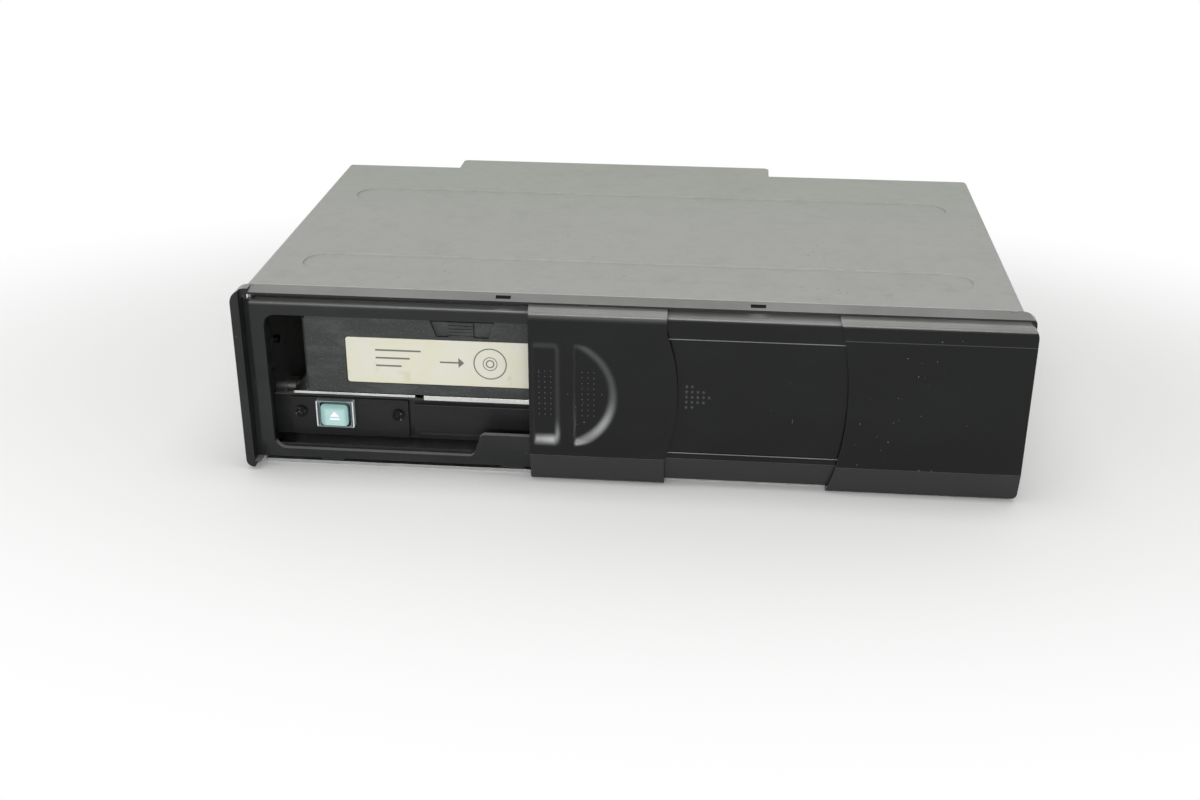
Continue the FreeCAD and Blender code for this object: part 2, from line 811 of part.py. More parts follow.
def front_bezel():
    left, right = "-half_width", "half_width"
    face, shelf = frame_face, rail_top
    back_face = f"({face} + frame_wall)"
    skirt_top = "(height - sheet - collar_fit)"
    contour = rounded(block(left, right, "-1", "skirt_back", "rim_low", "band_seam"), "frame_corner",
                      lambda middle, way: abs(way.y) > 0.999
                      and (middle.x > 0 or middle.z > num("height / 2")))
    contour = rounded(contour, "foot_corner",
                      lambda middle, way: abs(way.y) > 0.999
                      and middle.x < 0 and middle.z < num("crease_low"))
    band = new_body("Band")
    pad(band, "YZ", left, right, [
        ("band_front", "roof_low"), ("band_front", "roof_low + roof_edge"),
        ("case_front - sheet_fit", "band_seam"),
        ("case_front - sheet_fit", skirt_top), ("case_front - sheet_fit", "roof_low")])
    collar_top = "(height - cover_bend - sheet)"
    foot = cut(block("-rim_inner - 1", "foot_reach - rim_inner", "rim_front", "collar_back", "rim_low",
                     "rim_low + foot_reach + 0.2"),
               rod("Y", "foot_reach", "foot_reach - rim_inner", "-1", "rim_low", "collar_back + 2"))
    corner = rounded(block("-rim_inner", "0", "-1", "collar_back", "-1", "roof_low"), "rim_corner",
                     lambda middle, way: abs(way.y) > 0.999 and middle.x < -1 and middle.z > 1)
    bridge = cut(block(left, "rim_corner - rim_inner", "band_front", "case_front - sheet_fit",
                       "roof_low - rim_corner", "band_seam"), corner)
    ring = fuse(band, bridge, foot,
                block(left, "-rim_inner", "rim_front", "case_front - sheet_fit", "rim_low", "band_seam"),
                block(left, "-rim_inner", "rim_front", "collar_back", "rim_low", collar_top),
                block("case_half + collar_fit", right, "collar_front", "collar_back", "rim_low", collar_top))
    beside_case = block("-case_half - collar_fit", "case_half + collar_fit", "case_front - sheet_fit",
                        "skirt_back + 1", "rim_low - 1", "height")
    rim = cut(common(ring, contour), beside_case)
    wall = new_body("FrameWall")
    pad(wall, "YZ", "frame_left", "frame_right", skin(face, "(lip_wall + 2 * door_gap + middle_lip)") + [
        ("slot_back", frame_low), ("slot_back", f"{frame_low} + rail_thick"), (back_face, "crease_low"),
        (back_face, f"{shelf} - rail_thick"), ("lip_back", f"{shelf} - rail_thick")])
    beside = [block(x0, x1, "case_front - sheet_fit", "skirt_back", "0", "height")
              for x0, x1 in ((left, "-skirt_half"), ("skirt_half", right))]
    window = new_body("Window")
    pad(window, "XZ", f"{face} - 1", f"{back_face} + 1", [
        ("window_left", "window_low"), ("sill_left - sill_slope", "window_low"),
        ("sill_left", "window_sill"),
        ("window_right", "window_sill"), ("window_right", "window_top"), ("window_left", "window_top")])
    opening = rounded(window, "window_corner", lambda middle, way: abs(way.y) > 0.999
                      and middle.x < num("sill_left - 2 * window_corner"))
    opening = rounded(opening, "sill_round", lambda middle, way: abs(way.y) > 0.999
                      and num("sill_left - 2 * sill_slope") < middle.x < num("sill_left + sill_slope")
                      and middle.z < num("window_sill + sill_slope"))
    frame = cut(wall, opening, *beside)
    rails = [
        block("-skirt_half", "skirt_half", "lip_back - 1", "rail_back", f"{shelf} - rail_thick", shelf),
        block("-skirt_half", "skirt_half", "case_front - 1", "skirt_back", "roof_low", skirt_top),
        block("-skirt_half", "skirt_half", "slot_back", "rail_back", f"{shelf} - 1", "roof_low + 0.2"),
        block("-rim_inner - 1", "-skirt_half", back_face, "groove_back", frame_low, shelf),
        block("frame_right - 2", "case_half + collar_fit + 1", back_face + " - 1", "groove_back",
              "crease_low", "lip_top - frame_corner"),
        block("skirt_half", "case_half + collar_fit + 1", "collar_front - door_gap", "groove_back",
              frame_low, shelf),
        block("-skirt_half", "skirt_wall - skirt_half", back_face, "skirt_back", "frame_low_edge", shelf),
        block("skirt_half - skirt_wall", "skirt_half", back_face, "skirt_back", "frame_low_edge", shelf),
        block("rib_left", "rib_left + rib_wall", back_face + " - 1", "plate_face + plate_thick", "rib_low",
              f"{shelf} - 1"),
        block("1 - skirt_half", "rib_left + rib_wall", "plate_face + plate_thick", "carrier_back",
              "carrier_low", "plate_top"),
    ]
    bosses = []
    for side in bezel_bosses:
        bosses.append(block(f"{side} - boss_half", f"{side} + boss_half", "lip_low_back - 0.5",
                            "boss_front + 2 * boss_half", frame_low, "boss_top"))
        bosses.append(block(f"{side} - boss_half", f"{side} + boss_half", "boss_front",
                            "boss_front + 2 * boss_half", "floor_sheet + sheet_fit", "boss_top"))
    posts = [rod("Y", "stand_radius", f"key_x + {side} * stand_space", "carrier_back", "key_z",
                 "board_front - carrier_back") for side in (-1, 1)]
    solid = fuse(rim, frame, *rails, *bosses, *posts)
    holes = [block("key_x - key_half - key_fit", "key_x + key_half + key_fit", "plate_face",
                   "carrier_back + 1", "key_z - key_rise - key_fit", "key_z + key_rise + key_fit")]
    for start in ("snap_left", "snap_right"):
        holes.append(block(start, f"{start} + snap_length", "snap_back", "snap_back + snap_width",
                           "roof_low - 1", "height"))
    for side in (-1, 1):
        holes.append(block(f"{side} * notch_x - notch_half", f"{side} * notch_x + notch_half",
                           "case_front - notch_deep_seam", "case_front", "band_seam - notch_deep_seam",
                           "height"))
    for x in ("key_screw_left", "key_screw_right"):
        holes.append(rod("Y", "screw_shank", x, "plate_face", "key_screw_z", "screw_reach"))
    for side in bezel_bosses:
        holes.append(rod("Z", "screw_shank", side, "boss_front + boss_half", "0", "boss_top - roof_edge"))
    return finish(cut(solid, *holes), "front_bezel")


# ---------------------------------------------------------------- sheet metal case

chassis_half = "(case_half - sheet - sheet_fit)"
side_bolts = ("bolt_front", "bolt_rear")


def side_holes(radius, places, height, side):
    """Drillings through one side wall of the case."""
    reach = "(2 * sheet + 2 * floor_sheet)"
    start = f"case_half - {reach}" if side > 0 else "-case_half - 1"
    return [rod("X", radius, start, y, height, f"{reach} + 1") for y in places]


def top_cover():
    skin_block = rounded(block("-case_half", "case_half", "case_front", "case_back", "cover_hem", "height"),
                         "cover_bend",
                         lambda middle, way: abs(way.y) > 0.999 and middle.z > num("height / 2"))
    inside = rounded(block("sheet - case_half", "case_half - sheet", "case_front - 1", "case_back + 1", "-1",
                           "height - sheet"),
                     "cover_bend - sheet",
                     lambda middle, way: abs(way.y) > 0.999 and middle.z > num("height / 2"))
    bead_half = "(bead_width / 2)"
    raised, pressed = [], []
    for start in ("bead_front", "bead_rear"):
        raised.append(rounded(block("-bead_half", "bead_half", start, f"{start} + bead_width",
                                    "height - sheet - bead_deep", "height - sheet + 0.1"),
                                    "bead_width / 2 - 0.1",
                              lambda middle, way: abs(way.z) > 0.999))
        pressed.append(rounded(block("bead_deep - bead_half", "bead_half - bead_deep",
                                     f"{start} + bead_deep",
                                     f"{start} + bead_width - bead_deep", "height - bead_deep",
                                     "height + 1"),
                               f"{bead_half} - bead_deep - 0.1", lambda middle, way: abs(way.z) > 0.999))
    hood = rounded(block("hood_left", "hood_right", "case_back - 1", "depth", "height - sheet", "height"),
                   "cover_bend", lambda middle, way: abs(way.z) > 0.999 and middle.y > num("case_back"))
    holes = []
    for side in (-1, 1):
        holes += side_holes("bolt_hole", side_bolts, "bolt_height", side)
        holes += side_holes("case_screw_shank + case_screw_fit", ("case_screw_front", "case_screw_rear"),
                            "case_screw_z", side)
        holes += side_holes("dial_hub + dial_fit", ("dial_y",), "dial_z", side)
        edges = ("case_half - 2 * sheet", "case_half + 1") if side > 0 else ("-case_half - 1",
                                                                             "2 * sheet - case_half")
        holes.append(block(*edges, "case_front - 1", "slot_back", rail_top, "roof_low"))
    return finish(cut(fuse(cut(skin_block, inside), *raised, hood), *pressed, *holes), "top_cover")


def chassis():
    half = chassis_half
    walls = [
        block(f"-{half}", half, "floor_front", "case_back", "0", "floor_sheet"),
        block(f"-{half}", f"floor_sheet - {half}", "wall_front", "case_back", "0", "wall_top"),
        block(f"{half} - floor_sheet", half, "wall_front", "case_back", "0", "wall_top"),
        block(f"-{half}", half, "case_back - floor_sheet", "case_back", "0", "rear_top"),
        block(f"-{half}", f"shelf_width - {half}", "main_front", "case_back", "wall_top - floor_sheet",
              "wall_top"),
        block("main_left", "main_right", "case_back - shelf_width", "case_back", "wall_top - floor_sheet",
              "wall_top"),
    ]
    nuts, holes = [], []
    for side in (-1, 1):
        start = f"{half} - floor_sheet - nut_length" if side > 0 else f"floor_sheet - {half}"
        nuts += [rod("X", "nut_radius", start, y, "bolt_height", "nut_length") for y in side_bolts]
        reach = "nut_length + floor_sheet"
        through = f"{half} - {reach}" if side > 0 else f"-{half}"
        holes += [rod("X", "thread_radius", through, y, "bolt_height", reach) for y in side_bolts]
        holes += side_holes("case_screw_shank", ("case_screw_front", "case_screw_rear"), "case_screw_z",
                            side)
        holes += side_holes("dial_hub + dial_fit", ("dial_y",), "dial_z", side)
    for number in (0, 1):
        holes.append(rod("Y", "socket_radius + socket_fit", f"socket_x + {number} * socket_space",
                         "case_back - 2 * floor_sheet", "socket_z", "4 * floor_sheet"))
    holes.append(block("fibre_x - fibre_half - socket_fit", "fibre_x + fibre_half + socket_fit",
                       "case_back - 2 * floor_sheet", "case_back + 1", "socket_z - fibre_half - socket_fit",
                       "socket_z + fibre_half + socket_fit"))
    for x in bezel_bosses:
        holes.append(rod("Z", "screw_shank + screw_free", x, "boss_front + boss_half", "-1",
                         "4 * floor_sheet"))
        holes.append(rod("Z", "screw_head + screw_free", x, "boss_front + boss_half", "-1",
                         "1 + screw_sink"))
    for x, y in board_screws:
        holes.append(rod("Z", "screw_shank", x, y, "wall_top - 2 * floor_sheet", "3 * floor_sheet"))
    return finish(cut(fuse(*walls, *nuts), *holes), "chassis")


board_screws = [
    ("main_left + board_screw_in", "main_front + board_screw_in"),
    ("main_left + board_screw_in", "main_back - board_screw_in"),
    ("main_right - board_screw_in", "main_back - board_screw_in"),
]


def pan_screw(axis, x, y, z, head_radius, head_rise, shank_radius, shank_length, inward):
    """A cross-recess screw with its head seat at the given point; inward is +1 or -1 along the axis."""
    place = {"X": 0, "Y": 1, "Z": 2}[axis]
    seat = [x, y, z]
    head, shank, slot = list(seat), list(seat), list(seat)
    if inward > 0:
        head[place] = f"{seat[place]} - {head_rise}"
        slot[place] = head[place]
    else:
        shank[place] = f"{seat[place]} - {shank_length}"
        slot[place] = f"{seat[place]} + {head_rise} / 2"
    arms = []
    for turn in (1, 2):
        low, high = list(slot), list(slot)
        for other in (0, 1, 2):
            if other == place:
                high[other] = f"{slot[other]} + {head_rise} / 2"
                continue
            reach = "0.55" if (other + turn + place) % 2 else "0.14"
            low[other] = f"{slot[other]} - {reach} * {head_radius}"
            high[other] = f"{slot[other]} + {reach} * {head_radius}"
        arms.append(block(low[0], high[0], low[1], high[1], low[2], high[2]))
    body = fuse(rod(axis, head_radius, *head, head_rise), rod(axis, shank_radius, *shank, shank_length))
    return cut(body, *arms)


def case_screws():
    screws = []
    for side in (-1, 1):
        for y in ("case_screw_front", "case_screw_rear"):
            screws.append(pan_screw("X", f"{side} * case_half", y, "case_screw_z", "case_screw_head",
                                    "screw_rise",
                                    "case_screw_shank - sheet_fit", "case_screw_length", -side))
    return finish(group(*screws), "case_screws")


def bezel_screws():
    screws = [pan_screw("Z", x, "boss_front + boss_half", "screw_sink", "screw_head", "screw_sink",
                        "screw_shank - sheet_fit", "boss_top - roof_edge - screw_sink",
                        1) for x in bezel_bosses]
    return finish(group(*screws), "bezel_screws")


# ---------------------------------------------------------------- eject key

def key_block(half, rise, y0, y1, corner=None):
    item = block(f"key_x - {half}", f"key_x + {half}", y0, y1, f"key_z - {rise}", f"key_z + {rise}")
    if corner is None:
        return item
    return rounded(item, corner, lambda middle, way: abs(way.y) > 0.999)


def eject_button():
    cap = key_block("key_half", "key_rise", "key_face", "flange_front", "key_corner")
    flange = key_block("(key_half + flange_rim)", "(key_rise + flange_rim)", "flange_front", "flange_back")
    stem = rod("Y", "stem_radius", "key_x", "flange_back - 1", "key_z", "stem_back - flange_back + 1")
    return finish(fuse(cap, flange, stem), "eject_button")


def button_collar():
    ring = key_block("collar_half", "collar_rise", "collar_face", "plate_face", "collar_corner")
    opening = key_block("(key_half + 2 * key_fit)", "(key_rise + 2 * key_fit)", "collar_face - 1",
                        "plate_face + 1", "key_corner + key_fit")
    step = key_block("(collar_half - collar_step)", "(collar_rise - collar_step)", "collar_face - 1",
                     "collar_face + collar_step")
    lip = key_block("(collar_half - 2 * collar_step)", "(collar_rise - 2 * collar_step)", "collar_face - 1",
                    "collar_face + 2 * collar_step")
    return finish(cut(ring, opening, common(step, lip)), "button_collar")


def key_plate():
    plate = block("plate_left", "plate_split", "plate_face", "plate_face + plate_thick", "plate_low",
                  "plate_top")
    holes = [key_block("(key_half + key_fit)", "(key_rise + key_fit)", "plate_face - 1",
                       "plate_face + plate_thick + 1", "key_corner")]
    for x in ("key_screw_left", "key_screw_right"):
        holes.append(rod("Y", "screw_shank", x, "plate_face - 1", "key_screw_z", "plate_thick + 2"))
    return finish(cut(plate, *holes), "key_plate")


def lower_plate():
    plate = block("plate_split + plate_joint", "plate_right", "plate_face", "plate_face + plate_thick",
                  "plate_low", "plate_top - lip_way")
    groove = block("plate_split + 2 * plate_joint", "plate_right - plate_joint", "plate_face - 1",
                   "plate_face + cradle_gap", "plate_low + plate_joint",
                   "plate_low + plate_joint + cradle_gap")
    return finish(cut(plate, groove), "lower_plate")


def key_screws():
    screws = [pan_screw("Y", x, "plate_face", "key_screw_z", "screw_head", "screw_rise",
                        "screw_shank - sheet_fit",
                        "screw_reach - sheet_fit", 1) for x in ("key_screw_left", "key_screw_right")]
    return finish(group(*screws), "key_screws")


def switch_board():
    board = block("key_x - stand_space - 3 * stand_radius", "key_x + stand_space + 3 * stand_radius",
                  "board_front", "board_front + board_thick", "key_z - board_rise", "key_z + board_rise")
    plunger = "(stem_back + key_travel + switch_gap)"
    switch = block("key_x - switch_half", "key_x + switch_half", f"{plunger} + switch_gap", "board_front",
                   "key_z - switch_half", "key_z + switch_half")
    nub = rod("Y", "stem_radius", "key_x", plunger, "key_z", f"board_front - {plunger}")
    connector = block("key_x + switch_half + 1", "key_x + 3 * switch_half", "board_front + board_thick",
                      "board_front + 4 * board_thick", "key_z - switch_half", "key_z + switch_half")
    return finish(fuse(board, switch, nub, connector), "switch_board")


# ---------------------------------------------------------------- magazine

mag_right = "(mag_left + mag_width)"
mag_height = "(2 * mag_wall + 2 * tray_gap + (tray_count - 1) * tray_pitch + tray_thick)"
mag_top = f"(mag_low + {mag_height})"
mag_middle = f"(mag_low + {mag_height} / 2)"
mag_back = "(plate_face + mag_depth)"
tray_left = "(mag_left + mag_side + tray_left_gap)"
tray_front = "(plate_face + mag_side + tray_fit)"
tray_back = f"({mag_back} - mag_side - tray_fit)"
tray_base = "(mag_low + mag_wall + tray_gap)"
wheel_way = f"({tray_back} - 2 * rack_module - wheel_clear)"
spindle_x = f"({tray_left} + tray_length / 2 + tray_travel)"
spindle_y = "(plate_face + mag_depth / 2)"


def magazine_half(low, high, cavity_low, cavity_high):
    shell = rounded(block("mag_left", mag_right, "plate_face", mag_back, low, high), "mag_corner",
                    lambda middle, way: abs(way.z) > 0.999 and middle.x < 0)
    cavity = block("mag_left + mag_side", f"{mag_right} + 1", "plate_face + mag_side",
                   f"{mag_back} - mag_side", cavity_low, cavity_high)
    mouth = block("mouth", f"{mag_right} + 1", wheel_way, f"{mag_back} + 1", "mag_low - 1", f"{mag_top} + 1")
    return shell, [cavity, mouth]


def combs(low, high):
    """Ledges between the trays, on the front and rear walls of the magazine."""
    ledges = []
    for level in range(1, int(num("tray_count"))):
        base = f"({tray_base} + {level} * tray_pitch - (tray_pitch - tray_thick + comb_thick) / 2)"
        if not low <= num(base) < high:
            continue
        for y0, y1 in (("plate_face + mag_side - 0.5", "plate_face + mag_side + comb_deep"),
                       (f"{mag_back} - mag_side - comb_deep", f"{mag_back} - mag_side + 0.5")):
            ledges.append(block("mag_left + mag_side - 0.5", "mouth - 1", y0, y1, base,
                                f"{base} + comb_thick"))
    return ledges


def magazine_base():
    shell, hollows = magazine_half("mag_low", mag_middle, "mag_low + mag_wall", f"{mag_middle} + 1")
    ledges = combs(num("mag_low"), num(mag_middle) - num("comb_thick"))
    label_bed = block("label_left - label_fit", "label_left + label_length + label_fit", "plate_face - 1",
                      "plate_face + label_thick", "label_low - label_fit", "height")
    return finish(cut(fuse(cut(shell, *hollows), *ledges), label_bed), "magazine_base")


def magazine_lid():
    shell, hollows = magazine_half(mag_middle, mag_top, f"{mag_middle} - 1", f"{mag_top} - mag_wall")
    ledges = combs(num(mag_middle), num(mag_top))
    label_bed = block("label_left - label_fit", "label_left + label_length + label_fit", "plate_face - 1",
                      "plate_face + label_thick", "0", "label_low + label_height + label_fit")
    notch = new_body("Notch")
    pad(notch, "XZ", "plate_face - 1", "plate_face + notch_deep", [
        ("notch_left + notch_slope", "notch_low"), ("notch_left + notch_length - notch_slope", "notch_low"),
        ("notch_left + notch_length", f"{mag_top} + 2 * front_lip"),
        ("notch_left", f"{mag_top} + 2 * front_lip")])
    lip = block("mag_left + mag_corner", mag_right, "plate_face", "cradle_front - lip_space",
                mag_top + " - 1", mag_top + " + front_lip")
    return finish(cut(fuse(cut(shell, *hollows), lip, *ledges), label_bed, notch), "magazine_lid")


def magazine_label():
    return finish(rounded(block("label_left", "label_left + label_length", "plate_face",
                                "plate_face + label_thick",
                                "label_low", "label_low + label_height"), "label_corner",
                          lambda middle, way: abs(way.y) > 0.999), "magazine_label")


def magazine_catch():
    """A ribbed thumb piece in the notch of the magazine's front."""
    pieces = [block("catch_left", "catch_left + catch_length", "plate_face", "plate_face + notch_deep",
                    "notch_low", "notch_low + catch_height")]
    for rib in range(4):
        base = f"notch_low + catch_rib + {rib} * 3 * catch_rib"
        pieces.append(block("catch_left", "catch_left + catch_length", "plate_face - catch_rib",
                            "plate_face + 0.2", base, f"{base} + catch_rib"))
    return finish(fuse(*pieces), "magazine_catch")


def tray(level):
    """A disc tray whose rear edge is a rack for the loading wheel."""
    x0, x1, y0, y1 = num(tray_left), num(tray_left + " + tray_length"), num(tray_front), num(tray_back)
    z0 = num(f"{tray_base} + {level} * tray_pitch")
    thick, floor, module = num("tray_thick"), num("tray_floor"), num("rack_module")
    pitch = math.pi * module
    flank = math.tan(math.radians(PRESSURE_ANGLE))
    play = num("gear_play") / 2
    half_tip = pitch / 4 - module * flank - play
    half_root = pitch / 4 + module * flank * 1.25 - play
    edge = [Vector(x0, y0, z0), Vector(x1, y0, z0), Vector(x1, y1 - 2.25 * module, z0)]
    count = int((x1 - x0 - pitch) / pitch)
    first = num("load_x") - pitch / 2 + math.floor((x1 - num("load_x")) / pitch) * pitch
    for tooth in range(count):
        middle = first - tooth * pitch
        edge += [Vector(middle + half_root, y1 - 2.25 * module, z0), Vector(middle + half_tip, y1, z0),
                 Vector(middle - half_tip, y1, z0), Vector(middle - half_root, y1 - 2.25 * module, z0)]
    edge += [Vector(x0, y1 - 2.25 * module, z0), Vector(x0, y0, z0)]
    plate = Part.Face(Part.makePolygon(edge)).extrude(Vector(0, 0, thick))
    centre = Vector((x0 + x1) / 2, (y0 + y1) / 2, z0)
    seat = Part.makeCylinder(num("disc_radius + disc_fit"), thick, centre + Vector(0, 0, floor))
    hub = Part.makeCylinder(num("hub_window"), thick + 2, centre - Vector(0, 0, 1))
    half = num("sled_window")
    slot = Part.makeBox(2 * half, centre.y - y0 - num("tray_rim"), thick + 2,
                        Vector(centre.x - half, y0 + num("tray_rim"), z0 - 1))
    return finish(plain(plate.cut(seat).cut(hub).cut(slot).removeSplitter(), "Tray"), f"tray_{level + 1}")


posts = (("post_left", "post_front"), ("post_right", "post_front"), ("post_right", "post_rear"))
base_top = "(base_low + base_sheet)"
post_top = "(bridge_low + bridge_sheet)"
wheel_radius = "(lift_module * wheel_teeth / 2)"
pinion_radius = "(lift_module * pinion_teeth / 2)"
idler_x = [f"(lift_x - {2 * number} * {wheel_radius} - {number} * gear_pitch_gap)" for number in (1, 2, 3)]
motor_x = f"({idler_x[-1]} - {wheel_radius} - {pinion_radius} - gear_pitch_gap)"


def cradle():
    left, right, back = "cradle_left", "cradle_right", "cradle_back"
    roof = f"({mag_top} + cradle_gap)"
    shelf_top = "(mag_low - cradle_gap)"
    legs_right = f"{right} - cradle_sheet"
    pieces = [
        block(left, right, "plate_face + 0.4", back, f"{shelf_top} - cradle_sheet", shelf_top),
        block(left, f"{left} + cradle_sheet", "leg_front", back, f"{shelf_top} - cradle_sheet",
              f"{roof} + cradle_sheet"),
        block("cradle_slot_x", right, "plate_face + 0.4", "plate_face + 0.4 + cradle_sheet",
              f"{shelf_top} - cradle_sheet - cradle_lip", shelf_top),
        block(left, f"{left} + cradle_sheet", "leg_front", back, "base_low + base_sheet", shelf_top),
        block(left, right, "cradle_front", back, roof, f"{roof} + cradle_sheet"),
        block(left, "mouth - 1", back + " - cradle_sheet", back, "base_low + base_sheet",
              f"{roof} + cradle_sheet"),
        block(legs_right, right, "leg_front", "leg_back", "base_low + base_sheet", shelf_top),
    ]
    holes = [
        block("cradle_slot_x - cradle_slot / 2", "cradle_slot_x + cradle_slot / 2", "plate_face",
              "2 * cradle_front", f"{shelf_top} - 2 * cradle_sheet", f"{shelf_top} + 1"),
        block("cradle_window - window_half", "cradle_window + window_half", "leg_front", "leg_back",
              roof + " - 1", f"{roof} + 2 * cradle_sheet"),
        block("mouth", f"{right} + 1", wheel_way, back + " + 1", "0", "height"),
        block(f"{motor_x} - motor_radius - 1", "mouth", f"{back} - 2 * cradle_sheet", back + " + 1", "0",
              "bracket_low + bracket_sheet + motor_height + 2 * motor_gap"),
    ]
    return finish(cut(fuse(*pieces), *holes), "magazine_cradle")


# ---------------------------------------------------------------- floating frame and lift

def mech_frame():
    corner = "upright"
    pieces = [
        block("base_left", "base_right", "base_front", "base_back", "base_low", base_top),
        block("bridge_left", "base_right", "bridge_front", "bridge_front + bridge_deep", "bridge_low",
              post_top),
        block("bridge_left", "base_right", "post_rear - bridge_deep / 2", "post_rear + bridge_deep / 2",
              "bridge_low", post_top),
        block(f"base_right - {corner}", "base_right", "bridge_front", "bridge_front + bridge_sheet",
              base_top, post_top),
        block(f"base_right - {corner}", "base_right", "base_back - bridge_sheet", "base_back", base_top,
              post_top),
        block(f"base_right - {corner}", "base_right", "post_rear", "base_back", "bridge_low", post_top),
        block(f"{motor_x} - motor_radius", f"{motor_x} + motor_radius", "post_rear - motor_radius",
              "base_back", "bracket_low", "bracket_low + bracket_sheet"),
        block(f"{motor_x} - motor_radius", f"{motor_x} - motor_radius + bracket_sheet",
              "post_rear - motor_radius", "base_back", base_top, "bracket_low + bracket_sheet"),
    ]
    for side in (-1, 1):
        edges = ("base_right - 1", "spring_x + tab_half") if side > 0 else ("-spring_x - tab_half",
                                                                            "base_left + 1")
        pieces.append(block(*edges, "dial_y - tab_half", "dial_y + tab_half", "base_low", base_top))
    stubs = [rod("Z", "gear_bore", x, "post_rear", base_top,
                 "gear_low + gear_thick + motor_gap / 2 - " + base_top)
             for x in idler_x]
    holes = [rod("Z", "post_radius + shaft_fit", x, y, "base_low - 1", f"{post_top} + 2 - base_low")
             for x, y in posts]
    holes.append(rod("Z", "lift_radius + shaft_fit", "lift_x", "post_rear", "base_low - 1",
                     f"{post_top} + 2 - base_low"))
    holes.append(rod("Z", "gear_bore + shaft_fit", motor_x, "post_rear", base_top + " + 0.1",
                     "gear_thick * 3"))
    holes.append(block("base_left + damper_radius", "-damper_radius", "2 * damper_front",
                       "damper_rear - 2 * damper_radius", "base_low - 1", f"{base_top} + 1"))
    return finish(fuse(cut(fuse(*pieces), *holes), *stubs), "mech_frame")


def guide_posts():
    rods = [rod("Z", "post_radius", x, y, "base_low", f"{post_top} - base_low") for x, y in posts]
    return finish(group(*rods), "guide_posts")


def involute_gear(module, teeth, thick, bore, x, y, z, turn):
    """A spur gear about +Z; turn, in teeth, sets the angle of its first tooth."""
    alpha = math.radians(PRESSURE_ANGLE)
    pitch_r = module * teeth / 2
    base_r = pitch_r * math.cos(alpha)
    tip_r = pitch_r + module
    root_r = pitch_r - 1.25 * module
    half = math.pi / (2 * teeth) - num("gear_play") / 4 / pitch_r

    def spread(radius):
        if radius <= base_r:
            return half + math.tan(alpha) - alpha
        angle = math.acos(base_r / radius)
        return half + (math.tan(alpha) - alpha) - (math.tan(angle) - angle)

    steps = 5
    low_r = max(base_r, root_r)
    radii = [low_r + (tip_r - low_r) * step / steps for step in range(steps + 1)]
    points = []
    for tooth in range(teeth):
        centre = 2 * math.pi * (tooth + turn) / teeth
        flank = [(root_r, -spread(low_r))] + [(r, -spread(r)) for r in radii]
        for radius, angle in flank + [(r, -a) for r, a in flank[::-1]]:
            points.append(Vector(x + radius * math.cos(centre + angle),
                                 y + radius * math.sin(centre + angle), z))
    points.append(points[0])
    blank = Part.Face(Part.makePolygon(points)).extrude(Vector(0, 0, thick))
    if bore:
        blank = blank.cut(Part.makeCylinder(bore, thick + 2, Vector(x, y, z - 1)))
    return blank


def lift_screw():
    x, y, z = num("lift_x"), num("post_rear"), num("base_low")
    shaft = Part.makeCylinder(num("lift_radius"), num(post_top) - z, Vector(x, y, z))
    grooves = []
    step = num("thread_pitch")
    start = num("drive_low") - step
    while start < num("bridge_low") - 2 * step:
        ring = Part.makeCylinder(num("lift_radius") + 1, step / 2, Vector(x, y, start))
        core = Part.makeCylinder(num("lift_radius") - num("thread_deep"), step / 2, Vector(x, y, start))
        grooves.append(ring.cut(core))
        start += step
    shaft = shaft.cut(grooves)
    wheel = involute_gear(num("lift_module"), int(num("wheel_teeth")), num("gear_thick"), None, x, y,
                          num("gear_low"), 0)
    return finish(plain(shaft.fuse(wheel), "LiftScrew"), "lift_screw")


def lift_idlers():
    """Idler wheels between the motor and the screw, each half a tooth off its neighbour."""
    made = []
    for number, x in enumerate(idler_x, start=1):
        turn = 0.5 if number % 2 else 0
        gear = involute_gear(num("lift_module"), int(num("wheel_teeth")), num("gear_thick"),
                             num("gear_bore + shaft_fit"), num(x), num("post_rear"), num("gear_low"), turn)
        made.append(finish(plain(gear, "Idler"), f"lift_idler_{number}"))
    return made


def lift_pinion():
    teeth = int(num("pinion_teeth"))
    gear = involute_gear(num("lift_module"), teeth, num("gear_thick"), None, num(motor_x), num("post_rear"),
                         num("gear_low"), 0)
    top = num("motor_base")
    shaft = Part.makeCylinder(num("gear_bore"), top - num("gear_low"),
                              Vector(num(motor_x), num("post_rear"), num("gear_low")))
    return finish(plain(gear.fuse(shaft), "Pinion"), "lift_pinion")


def lift_motor():
    can = rod("Z", "motor_radius", motor_x, "post_rear", "bracket_low + bracket_sheet", "motor_height")
    flats = [block(f"{motor_x} - motor_radius - 1", f"{motor_x} + motor_radius + 1", y0, y1, "bracket_low",
                   "bracket_low + 2 * motor_height")
             for y0, y1 in (("0", "post_rear - motor_flat"), ("post_rear + motor_flat", "depth"))]
    socket = rod("Z", "gear_bore + shaft_fit", motor_x, "post_rear", "bracket_low",
                 "motor_base - bracket_low + shaft_fit")
    tail = rod("Z", "2 * gear_bore", motor_x, "post_rear", "bracket_low + bracket_sheet + motor_height",
               "motor_gap")
    return finish(cut(fuse(cut(can, *flats), tail), socket), "lift_motor")


def dampers():
    cups = []
    for x in ("-damper_side", "damper_side"):
        for y in ("damper_front", "damper_rear"):
            cup = cone("damper_radius", "damper_radius - damper_taper", x, y, "floor_sheet",
                       "base_low - floor_sheet")
            waist = doc.addObject("Part::Torus", "Waist")
            bind(waist, "Radius1", "damper_radius + waist_out")
            bind(waist, "Radius2", "waist_radius")
            for path, place in (("x", x), ("y", y), ("z", "(base_low + floor_sheet) / 2")):
                bind(waist, f"Placement.Base.{path}", place)
            cups.append(cut(cup, waist))
    return finish(group(*cups), "oil_dampers")


# ---------------------------------------------------------------- drive

